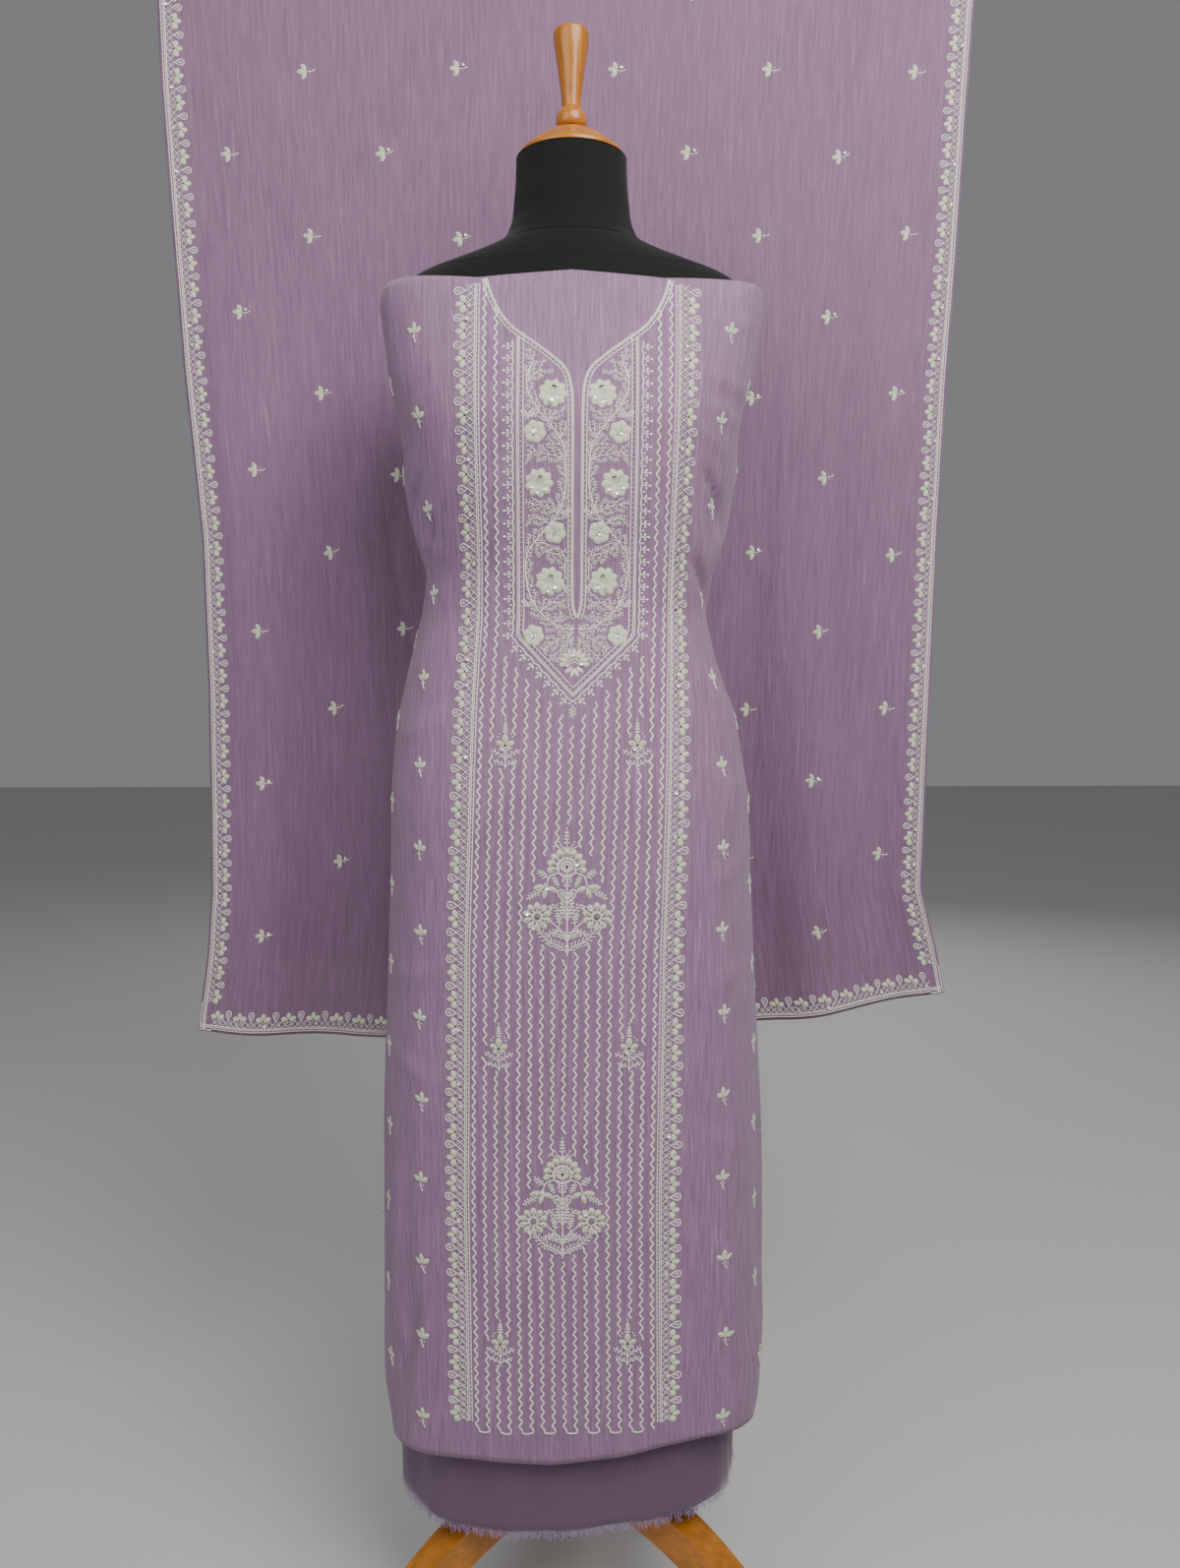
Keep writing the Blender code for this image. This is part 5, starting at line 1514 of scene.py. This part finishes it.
@lru_cache(maxsize=None)
def thread_material():
    """Twisted cotton cord, flat satin stitch and glass beads, told apart by the third stitch coordinate, with
    painted shade at the stitches' edges and in the twist's grooves.
    """
    look = suit().embroidery
    finish = Finish("embroidery_threads",
                    {"Sheen Weight": 0.25, "Sheen Roughness": 0.35, "Specular IOR Level": 0.42})
    stitch = finish.attribute("stitch")
    parts = finish.node("SeparateXYZ", {0: stitch})
    run, side, kind = (parts.outputs[axis] for axis in "XYZ")
    slant = finish.maths("ADD", finish.maths("MULTIPLY", run, 1.0 / 0.00075),
                         finish.maths("MULTIPLY", side, 0.42))
    twist = finish.maths("SINE", finish.maths("MULTIPLY", slant, 2 * pi), 0.0)
    fibre = finish.noise(finish.stretched(stitch, (5200.0, 3.2, 40.0)), 2.0)
    speck = finish.noise(finish.stretched(finish.place(), (420.0, 420.0, 420.0)), 2.0)
    kinds = finish.ramp(kind, (0.0, look.cord_colour[:3]), (0.25, look.satin_colour[:3]),
                        (0.50, look.shadow_colour[:3]), (0.75, look.bead_colour[:3]))
    kinds.node.color_ramp.interpolation = "CONSTANT"
    # painted shade: the long edges of cords and petals are darkened, fully on satin, inner-mark and bead
    # threads and a quarter as much on cream cord, for the shade beside raised stitches
    flat = finish.spread(kind, 0.2, 0.3, 0.25, 1.0)
    edge = finish.maths("MULTIPLY", finish.spread(finish.maths("ABSOLUTE", side, 0.0), 0.66, 0.98, 0.0, 0.75),
                        flat)
    kinds = finish.mix(edge, kinds, (0.40, 0.36, 0.40), "MULTIPLY")
    tint = finish.mix(finish.spread(fibre, 0.35, 0.65, 0.0, 0.22), kinds, (0.62, 0.62, 0.60), "MULTIPLY")
    # painted shade: the grooves of the twist, where its bump is lowest, are darkened
    tint = finish.mix(finish.spread(twist, -1.0, 0.1, 0.14, 0.0), tint, (0.42, 0.40, 0.44), "MULTIPLY")
    tint = finish.mix(finish.spread(speck, 0.52, 0.72, 0.0, 0.20), tint, (0.76, 0.74, 0.78), "MULTIPLY")
    rough = finish.spread(kind, 0.3, 1.0, 0.58, 0.18)
    normal = finish.bump(twist, 0.5, 0.0002)
    normal = finish.bump(fibre, 0.5, 0.0002, normal)
    return finish.finish(tint, rough, normal)


@lru_cache(maxsize=None)
def sequin_material():
    finish = Finish("silver_sequins", {"Metallic": 0.45, "Coat Weight": 0.3, "Coat Roughness": 0.08})
    colour = suit().embroidery.sequin_colour
    parts = finish.node("SeparateXYZ", {0: finish.attribute("stitch")})
    foil = finish.noise(finish.stretched(finish.place(), (1500.0, 1500.0, 1500.0)), 2.0)
    tint = finish.ramp(parts.outputs["Z"], (0.0, shade(colour, 0.80)), (0.6, shade(colour, 1.0)),
                       (1.0, shade(colour, 1.12)))
    tint = finish.mix(finish.spread(parts.outputs["X"], 0.0004, 0.0001, 0.0, 0.8), tint, shade(colour, 0.35))
    return finish.finish(tint, finish.spread(foil, 0.3, 0.7, 0.12, 0.30), finish.bump(foil, 0.3, 0.0002))


def jersey_material():
    """Fine stretch knit: rows of small loops with a slight bloom."""
    finish = Finish("black_stretch_jersey",
                    {"Sheen Weight": 0.08, "Sheen Roughness": 0.5, "Specular IOR Level": 0.14})
    colour = suit().form.jersey_colour
    place = finish.place()
    wales = finish.node("TexWave", {"Vector": finish.stretched(place, (1.0, 1.0, 0.0)), "Scale": 210.0,
                                    "Distortion": 1.4,
                                    "Detail": 1.0}, wave_type="BANDS", bands_direction="X").outputs["Fac"]
    rows = finish.node("TexWave", {"Vector": place, "Scale": 260.0, "Distortion": 1.2, "Detail": 1.0},
                       wave_type="BANDS", bands_direction="Z").outputs["Fac"]
    lint = finish.noise(finish.stretched(place, (900.0, 900.0, 900.0)), 3.0, 0.6)
    patch = finish.noise(finish.stretched(place, (9.0, 9.0, 5.0)), 2.0)
    loops = finish.maths("MULTIPLY", wales, rows)
    tint = finish.ramp(loops, (0.0, shade(colour, 0.65)), (0.6, shade(colour, 1.0)),
                       (1.0, shade(colour, 1.5)))
    tint = finish.mix(finish.spread(patch, 0.4, 0.65, 0.0, 0.5), tint, shade(colour, 1.6))
    tint = finish.mix(finish.spread(lint, 0.66, 0.80, 0.0, 0.5), tint, shade(colour, 3.2))
    return finish.finish(tint, finish.spread(patch, 0.3, 0.7, 0.78, 0.92), finish.bump(loops, 0.5, 0.0004))


def wood_material(name, along):
    """Lacquered honey wood with its grain running along one direction."""
    finish = Finish(name, {"Coat Weight": 0.40, "Coat Roughness": 0.10, "Specular IOR Level": 0.35})
    colour = suit().form.wood_colour
    place = finish.place()
    grain = finish.noise(finish.stretched(place, along), 4.0, 0.62, 0.8)
    pores = finish.noise(finish.stretched(place, tuple(value * 6 for value in along)), 2.0, 0.5)
    cloud = finish.noise(finish.stretched(place, (14.0, 14.0, 14.0)), 2.0)
    tint = finish.ramp(finish.spread(grain, 0.28, 0.72), (0.0, shade(colour, 0.62)),
                       (0.42, shade(colour, 0.92)), (0.7, shade(colour, 1.08)), (1.0, shade(colour, 1.28)))
    tint = finish.mix(finish.spread(pores, 0.58, 0.74, 0.0, 0.45), tint, shade(colour, 0.45))
    tint = finish.mix(finish.spread(cloud, 0.35, 0.65, 0.0, 0.30), tint, shade(colour, 1.25))
    return finish.finish(tint, finish.spread(grain, 0.3, 0.7, 0.30, 0.44), finish.bump(pores, 0.12, 0.0003))


def steel_material(name, along):
    """Satin steel, brushed along one direction and slightly scuffed."""
    finish = Finish(name, {"Metallic": 1.0, "Specular IOR Level": 0.5})
    colour = suit().rack.steel_colour
    brush = finish.noise(finish.stretched(finish.place(), along), 3.0, 0.6)
    scuff = finish.noise(finish.stretched(finish.place(), (38.0, 38.0, 38.0)), 4.0, 0.65)
    tint = finish.ramp(finish.spread(brush, 0.3, 0.7), (0.0, shade(colour, 0.82)), (0.5, shade(colour, 1.0)),
                       (1.0, shade(colour, 1.14)))
    rough = finish.maths("ADD", finish.spread(brush, 0.3, 0.7, 0.26, 0.38),
                         finish.spread(scuff, 0.5, 0.75, 0.0, 0.18))
    return finish.finish(tint, rough, finish.bump(brush, 0.15, 0.0002))


def floor_material():
    finish = Finish("pale_floor", {"Specular IOR Level": 0.25})
    colour = suit().stage.floor_colour
    grain = finish.noise(finish.stretched(finish.place(), (60.0, 60.0, 60.0)), 3.0)
    tint = finish.ramp(grain, (0.3, shade(colour, 0.985)), (0.7, shade(colour, 1.0)))
    return finish.finish(tint, finish.spread(grain, 0.3, 0.7, 0.66, 0.74))


# ---------------------------------------------------------------- dress form and rack
ROUND_SIDES = 96
SEAM_DEPTH, SEAM_WIDTH = 0.0009, 0.0013


def lofted(name, loops, material, slot, *nodes):
    """A smooth closed piece from rings of equal count, from the bottom up and anticlockwise from above."""
    count = len(loops[0])
    points = np.concatenate(loops)
    faces = []
    for ring in range(len(loops) - 1):
        for k in range(count):
            a, b = ring * count + k, ring * count + (k + 1) % count
            faces.append((a, b, b + count, a + count))
    faces.append(tuple(range(count))[::-1])
    faces.append(tuple(range(len(points) - count, len(points))))
    mesh = mesh_of(name, points, faces)
    mesh.set_sharp_from_angle(angle=radians(40))
    return add_piece(name, mesh, material, slot, *nodes)


def make_torso():
    sections = Sections(TORSO_RINGS, 0.008)
    heights = np.unique(np.concatenate([
        [TORSO_BOTTOM + 0.0003], np.arange(TORSO_BOTTOM + 0.008, NECK_TOP - 0.003, 0.008),
        np.arange(1.366, 1.440, 0.003), NECK_SEAM_HEIGHT + np.arange(-0.005, 0.0051, 0.0007),
        [NECK_TOP - 0.0004]]))
    loops = []
    for height in heights:
        plan = outline(sections.ring(height), ROUND_SIDES + 1)[:-1]
        plan = plan * (1 - SEAM_DEPTH / 0.06 * np.exp(-((height - NECK_SEAM_HEIGHT) / SEAM_WIDTH) ** 2))
        loops.append(np.column_stack([plan[:, 0], plan[:, 1] + FORM_Y, np.full(ROUND_SIDES, height)]))
    lofted("form_body_cover", loops, jersey_material(), "form_jersey", "form_torso")


def turned_piece(name, profile, material, slot, node, sides=72):
    """A turned piece on the form's axis; its profile runs down the outer side, eased between points."""
    path = curve_through([turn.radius + 1j * turn.height for turn in profile], 4)
    low, high = min(turn.height for turn in profile), max(turn.height for turn in profile)
    path = np.clip(path.real, 0.0, None) + 1j * np.clip(path.imag, low, high)
    kept = [path[0]] + [b for a, b in zip(path, path[1:]) if abs(b - a) > 0.00012]
    kept = [spot for spot in kept if spot.real > 0.0004]
    round_about = np.linspace(0, 2 * pi, sides + 1)[:-1]
    loops = [np.column_stack([spot.real * np.cos(round_about), spot.real * np.sin(round_about) + FORM_Y,
                              np.full(sides, spot.imag)]) for spot in reversed(kept)]
    return lofted(name, loops, material, slot, node)


def leg_outline():
    """The side view of a leg: reach out from the axis and height, arched from the hub down to the floor."""
    root, crown, tip = (np.array(point) for point in (LEG_ROOT, LEG_CROWN, LEG_TIP))
    upper, lower = [], []
    for i in range(LEG_STEPS + 1):
        t = i / LEG_STEPS
        middle = (1 - t) ** 2 * root + 2 * t * (1 - t) * crown + t ** 2 * tip
        along = (1 - t) * (crown - root) + t * (tip - crown)
        normal = np.array([-along[1], along[0]]) / np.linalg.norm(along)
        half = LEG_DEPTH / 2 * (1.0 - LEG_FOOT_TAPER * t)
        if i == 0:
            normal = np.array([0.0, 1.0])
        upper.append(middle + normal * half)
        lower.append(middle - normal * half)
    corners = []
    for reach, height in upper + lower[::-1]:
        point = (min(reach, LEG_REACH), max(height, 0.0))
        if not corners or np.hypot(*np.subtract(point, corners[-1])) > LEG_LEAST_EDGE:
            corners.append(point)
    return corners


def slab(name, corners, place, thickness, bevel, material, slot, node):
    """A flat piece cut to an outline, with softened edges. place turns (u, v, offset) into a point."""
    bm = bmesh.new()
    near, far = ([bm.verts.new(place(u, v, side * thickness / 2)) for u, v in corners] for side in (-1, 1))
    bm.faces.new(near)
    bm.faces.new(far[::-1])
    for k in range(len(corners)):
        j = (k + 1) % len(corners)
        bm.faces.new((near[j], near[k], far[k], far[j]))
    bmesh.ops.recalc_face_normals(bm, faces=bm.faces)
    mesh = bpy.data.meshes.new(name)
    bm.to_mesh(mesh)
    bm.free()
    mesh.shade_smooth()
    obj = add_piece(name, mesh, material, slot, node)
    soften = obj.modifiers.new("softened_edges", "BEVEL")
    soften.width, soften.segments, soften.limit_method, soften.angle_limit = bevel, 3, "ANGLE", radians(50)
    soften.harden_normals = True
    return obj


def make_form():
    make_torso()
    turned_piece("form_cap_turned", NECK_CAP_PROFILE, wood_material("cap_wood", (40.0, 40.0, 40.0)),
                 "form_wood", "form_neck_cap")
    upright = wood_material("upright_grain_wood", (160.0, 160.0, 16.0))
    turned_piece("form_finial_turned", FINIAL_PROFILE, upright, "form_wood", "form_finial")
    turned_piece("form_hub_turned", HUB_PROFILE, upright, "form_wood", "form_hub")
    corners = leg_outline()
    for name, turn in LEG_TURNS.items():
        way = np.array([cos(turn), sin(turn)])
        across = np.array([-sin(turn), cos(turn)])

        def place(reach, height, offset):
            x, y = way * reach + across * offset
            return x, y + FORM_Y, height
        grain = (110.0 - 90.0 * abs(way[0]), 110.0 - 90.0 * abs(way[1]), 70.0)
        slab(f"form_leg_{name}_shaped", corners, place, LEG_THICKNESS, LEG_CHAMFER,
             wood_material(f"leg_wood_{name}", grain), "form_wood", f"form_leg_{name}")
    low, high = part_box("form_column")[0].z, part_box("form_column")[1].z
    tube_piece("form_column_round", [(0, FORM_Y, low), (0, FORM_Y, high)], COLUMN_RADIUS, 0.0006,
               steel_material("column_steel", (300.0, 300.0, 12.0)), "form_steel", "form_column")


def tube_piece(name, route, radius, rounding, material, slot, node, sides=40):
    """A round bar along a route in one plane, its two ends rounded over."""
    route = np.array(route, float)
    ahead = np.gradient(route, axis=0)
    ahead /= np.linalg.norm(ahead, axis=1, keepdims=True)
    aside = np.array((1.0, 0.0, 0.0)) if abs(ahead[0, 0]) < 0.5 else np.array((0.0, 1.0, 0.0))
    stations = [(route[0] + ahead[0] * rounding * (1 - cos(t)), radius - rounding * (1 - sin(t)), ahead[0])
                for t in np.linspace(0, pi / 2, 5)]
    stations += [(point, radius, way) for point, way in zip(route[1:-1], ahead[1:-1])]
    stations += [(route[-1] - ahead[-1] * rounding * (1 - sin(t)), radius - rounding * (1 - cos(t)),
                  ahead[-1])
                 for t in np.linspace(0, pi / 2, 5)]
    round_about = np.linspace(0, 2 * pi, sides + 1)[:-1]
    loops = []
    for point, reach, way in stations:
        third = np.cross(way, aside)
        loops.append(point + reach
                     * (np.outer(np.cos(round_about), aside) + np.outer(np.sin(round_about), third)))
    return lofted(name, loops, material, slot, node)


def make_rack():
    half = ROD_LENGTH / 2
    tube_piece("dupatta_rod_round", [(-half, ROD_Y, ROD_HEIGHT), (half, ROD_Y, ROD_HEIGHT)], ROD_RADIUS,
               0.004, steel_material("rod_steel", (14.0, 320.0, 320.0)), "rack_steel", "dupatta_rod", 56)
    base_low, base_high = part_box("rack_base")
    route = [(0, POST_FOOT_Y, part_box("rack_post")[0].z)]
    for share in np.linspace(0, 1, POST_BEND_STEPS):
        route.append((0, POST_FOOT_Y + (ROD_Y - POST_FOOT_Y) * float(ease(share)),
                      POST_BEND_LOW + (POST_BEND_HIGH - POST_BEND_LOW) * share))
    route.append((0, ROD_Y, ROD_HEIGHT - ROD_RADIUS - POST_HEAD_GAP))
    tube_piece("rack_post_round", route, POST_RADIUS, 0.0008,
               steel_material("post_steel", (320.0, 320.0, 14.0)),
               "rack_steel", "rack_post")
    wide, slot = base_high.x, BASE_SLOT_WIDTH / 2
    corners = ((-wide, base_low.y), (-slot, base_low.y), (-slot, BASE_SLOT_END_Y), (slot, BASE_SLOT_END_Y),
               (slot, base_low.y), (wide, base_low.y), (wide, base_high.y), (-wide, base_high.y))
    thick = base_high.z - base_low.z
    slab("rack_base_plate", corners, lambda u, v, offset: (u, v, base_low.z + thick / 2 + offset), thick,
         0.0012, steel_material("base_steel", (14.0, 240.0, 240.0)), "rack_steel", "rack_base")


# ---------------------------------------------------------------- stage
def soft_light(name, place, aim, size, power, colour=(1.0, 1.0, 1.0)):
    light = bpy.data.lights.new(name, "AREA")
    light.shape, light.size, light.energy, light.color = "DISK", size, power, colour
    obj = bpy.data.objects.new(name, light)
    obj.location = place
    obj.rotation_euler = (Vector(aim) - Vector(place)).to_track_quat("-Z", "Y").to_euler()
    bpy.context.scene.collection.objects.link(obj)


def make_stage():
    look = suit().stage
    floor = bpy.data.objects.new("pale_floor", mesh_of("pale_floor", np.array(
        [(x, y, -0.0005) for y in (-9.0, 9.0) for x in (-9.0, 9.0)]), [(0, 1, 3, 2)]))
    floor.data.materials.append(floor_material())
    bpy.context.scene.collection.objects.link(floor)
    world = bpy.data.worlds.new("soft_room")
    world.use_nodes = True
    background = world.node_tree.nodes["Background"]
    background.inputs["Color"].default_value = (0.93, 0.94, 0.96, 1.0)
    background.inputs["Strength"].default_value = look.room_light
    bpy.context.scene.world = world
    soft_light("key_light", (0.72, FORM_Y - 1.30, 2.40), (0.0, FORM_Y, 1.35), 1.5, look.key_power,
               (1.0, 0.985, 0.96))
    soft_light("side_fill", (-1.7, FORM_Y - 2.0, 2.2), (0.0, FORM_Y, 1.2), 2.2, look.key_power * 0.58)
    soft_light("back_fill", (0.8, FORM_Y + 3.0, 2.4), (0.0, FORM_Y, 1.0), 2.6, look.key_power * 0.60)
    camera = bpy.data.cameras.new("camera")
    camera.lens, camera.sensor_width, camera.clip_end = look.lens, 36.0, 60.0
    obj = bpy.data.objects.new("camera", camera)
    obj.location = (0.0, FORM_Y - look.camera_distance, look.camera_height)
    obj.rotation_euler = (pi / 2 - look.camera_tilt, 0.0, -look.camera_turn)
    bpy.context.scene.collection.objects.link(obj)
    bpy.context.scene.camera = obj


# ---------------------------------------------------------------- settings
def colour_setting(name, description, default):
    return FloatVectorProperty(name=name, description=description, default=default, size=3, min=0.0, max=1.0,
                               subtype="COLOR")


def length_setting(name, description, default):
    return FloatProperty(name=name, description=description, default=default, min=0.0, subtype="DISTANCE",
                         unit="LENGTH", precision=4)


class ClothSettings(bpy.types.PropertyGroup):
    kameez_colour: colour_setting("Kameez colour", "Dye of the embroidered length", (0.282, 0.166, 0.276))
    salwar_colour: colour_setting("Salwar colour", "Dye of the plain length", (0.132, 0.074, 0.132))
    dupatta_colour: colour_setting("Dupatta colour", "Dye of the sheer length", (0.258, 0.152, 0.250))
    fringe_colour: colour_setting("Frayed edge colour", "Loose threads of the salwar's edge",
                                  (0.330, 0.235, 0.430))
    voile_cover: FloatProperty(name="Voile cover",
                               description="How much of what is behind the dupatta one layer hides",
                               default=0.86, min=0.0, max=1.0, subtype="FACTOR")
    kameez_wall: length_setting("Kameez thickness", "Thickness of the embroidered length", 0.0008)
    salwar_wall: length_setting("Salwar thickness", "Thickness of the plain length", 0.0008)
    dupatta_wall: length_setting("Dupatta thickness", "Thickness of the sheer length", 0.0004)


class EmbroiderySettings(bpy.types.PropertyGroup):
    cord_colour: colour_setting("Cord colour", "Cord and seed stitches", (0.97, 0.93, 0.86))
    satin_colour: colour_setting("Satin colour", "Satin-stitched petals", (0.76, 0.78, 0.60))
    shadow_colour: colour_setting("Inner petal colour", "Darker marks inside the petals", (0.20, 0.19, 0.17))
    bead_colour: colour_setting("Bead colour", "Glass beads at the flowers' bases", (0.045, 0.035, 0.040))
    sequin_colour: colour_setting("Sequin colour", "Foil of the sequins", (0.95, 0.95, 0.90))


class FormSettings(bpy.types.PropertyGroup):
    jersey_colour: colour_setting("Jersey colour", "Stretch cover of the dress form",
                                  (0.0075, 0.0088, 0.0080))
    wood_colour: colour_setting("Wood colour", "Lacquered wood of the cap, finial, hub and legs",
                                (0.420, 0.150, 0.014))


class RackSettings(bpy.types.PropertyGroup):
    steel_colour: colour_setting("Steel colour", "Satin steel of the rod, post and base", (0.46, 0.46, 0.47))


class StageSettings(bpy.types.PropertyGroup):
    floor_colour: colour_setting("Floor colour", "Plain pale floor", (0.56, 0.56, 0.55))
    room_light: FloatProperty(name="Room light", description="Strength of the even light all round",
                              default=0.22, min=0.0)
    key_power: FloatProperty(name="Key light", description="Power of the main light, in watts", default=55.0,
                             min=0.0)
    lens: FloatProperty(name="Lens", description="Focal length of the camera", default=27.1, min=1.0,
                        unit="CAMERA")
    camera_distance: length_setting("Camera distance", "From the form's axis", 1.2)
    camera_height: length_setting("Camera height", "Above the floor", 1.0)
    camera_tilt: FloatProperty(name="Camera tilt", description="Downward tilt", default=radians(5.4),
                               subtype="ANGLE", unit="ROTATION")
    camera_turn: FloatProperty(name="Camera turn", description="Turn to the right", default=radians(0.86),
                               subtype="ANGLE", unit="ROTATION")


class SuitSettings(bpy.types.PropertyGroup):
    cloth: PointerProperty(name="Cloth", description="Dyes and thicknesses", type=ClothSettings)
    embroidery: PointerProperty(name="Embroidery", description="Threads, beads and sequins",
                                type=EmbroiderySettings)
    form: PointerProperty(name="Dress form", description="Finishes of the dress form", type=FormSettings)
    rack: PointerProperty(name="Rack", description="Finish of the rack", type=RackSettings)
    stage: PointerProperty(name="Stage", description="Floor, light and camera", type=StageSettings)


# ---------------------------------------------------------------- operators
class MakeKameez(bpy.types.Operator):
    """Drapes the kameez length round the form"""

    bl_idname = "suit.make_kameez"
    bl_label = "Kameez cloth"

    def execute(self, context):
        make_kameez()
        return {"FINISHED"}


class EmbroiderKameez(bpy.types.Operator):
    """Works the kameez's lines, borders, yoke, bootas, butis and sequins"""

    bl_idname = "suit.embroider_kameez"
    bl_label = "Kameez embroidery"

    def execute(self, context):
        embroider_kameez()
        return {"FINISHED"}


class MakeSalwar(bpy.types.Operator):
    """Drapes the salwar length with its frayed edge"""

    bl_idname = "suit.make_salwar"
    bl_label = "Salwar cloth"

    def execute(self, context):
        make_salwar()
        return {"FINISHED"}


class MakeDupatta(bpy.types.Operator):
    """Folds the dupatta over its rod"""

    bl_idname = "suit.make_dupatta"
    bl_label = "Dupatta cloth"

    def execute(self, context):
        make_dupatta()
        return {"FINISHED"}


class EmbroiderDupatta(bpy.types.Operator):
    """Works the dupatta's border, butis and sequins"""

    bl_idname = "suit.embroider_dupatta"
    bl_label = "Dupatta embroidery"

    def execute(self, context):
        embroider_dupatta()
        return {"FINISHED"}


class MakeForm(bpy.types.Operator):
    """Builds the limbless dress form and its turned stand"""

    bl_idname = "suit.make_form"
    bl_label = "Dress form"

    def execute(self, context):
        make_form()
        return {"FINISHED"}


class MakeRack(bpy.types.Operator):
    """Builds the free-standing rack that holds the dupatta"""

    bl_idname = "suit.make_rack"
    bl_label = "Rack"

    def execute(self, context):
        make_rack()
        return {"FINISHED"}


class MakeStage(bpy.types.Operator):
    """Sets the floor, the soft light and the camera"""

    bl_idname = "suit.make_stage"
    bl_label = "Stage"

    def execute(self, context):
        make_stage()
        return {"FINISHED"}


OPERATORS = (MakeStage, MakeForm, MakeRack, MakeKameez, EmbroiderKameez, MakeSalwar, MakeDupatta,
             EmbroiderDupatta)


class SuitPanel(bpy.types.Panel):
    bl_idname = "SUIT_PT_pieces"
    bl_label = "Salwar kameez suit"
    bl_space_type = "VIEW_3D"
    bl_region_type = "UI"
    bl_category = "Suit"

    def draw(self, context):
        for operator in OPERATORS:
            self.layout.operator(operator.bl_idname)
        for group in (context.scene.suit.cloth, context.scene.suit.embroidery, context.scene.suit.form,
                      context.scene.suit.rack, context.scene.suit.stage):
            box = self.layout.box()
            for name in group.__annotations__:
                box.prop(group, name)


CLASSES = (ClothSettings, EmbroiderySettings, FormSettings, RackSettings, StageSettings, SuitSettings,
           *OPERATORS, SuitPanel)


def register():
    for cls in CLASSES:
        bpy.utils.register_class(cls)
    bpy.types.Scene.suit = PointerProperty(type=SuitSettings)


def unregister():
    del bpy.types.Scene.suit
    for cls in reversed(CLASSES):
        bpy.utils.unregister_class(cls)


def main():
    register()
    bpy.ops.suit.make_stage()
    bpy.ops.suit.make_form()
    bpy.ops.suit.make_rack()
    bpy.ops.suit.make_kameez()
    bpy.ops.suit.embroider_kameez()
    bpy.ops.suit.make_salwar()
    bpy.ops.suit.make_dupatta()
    bpy.ops.suit.embroider_dupatta()


if __name__ == "__main__":
    main()
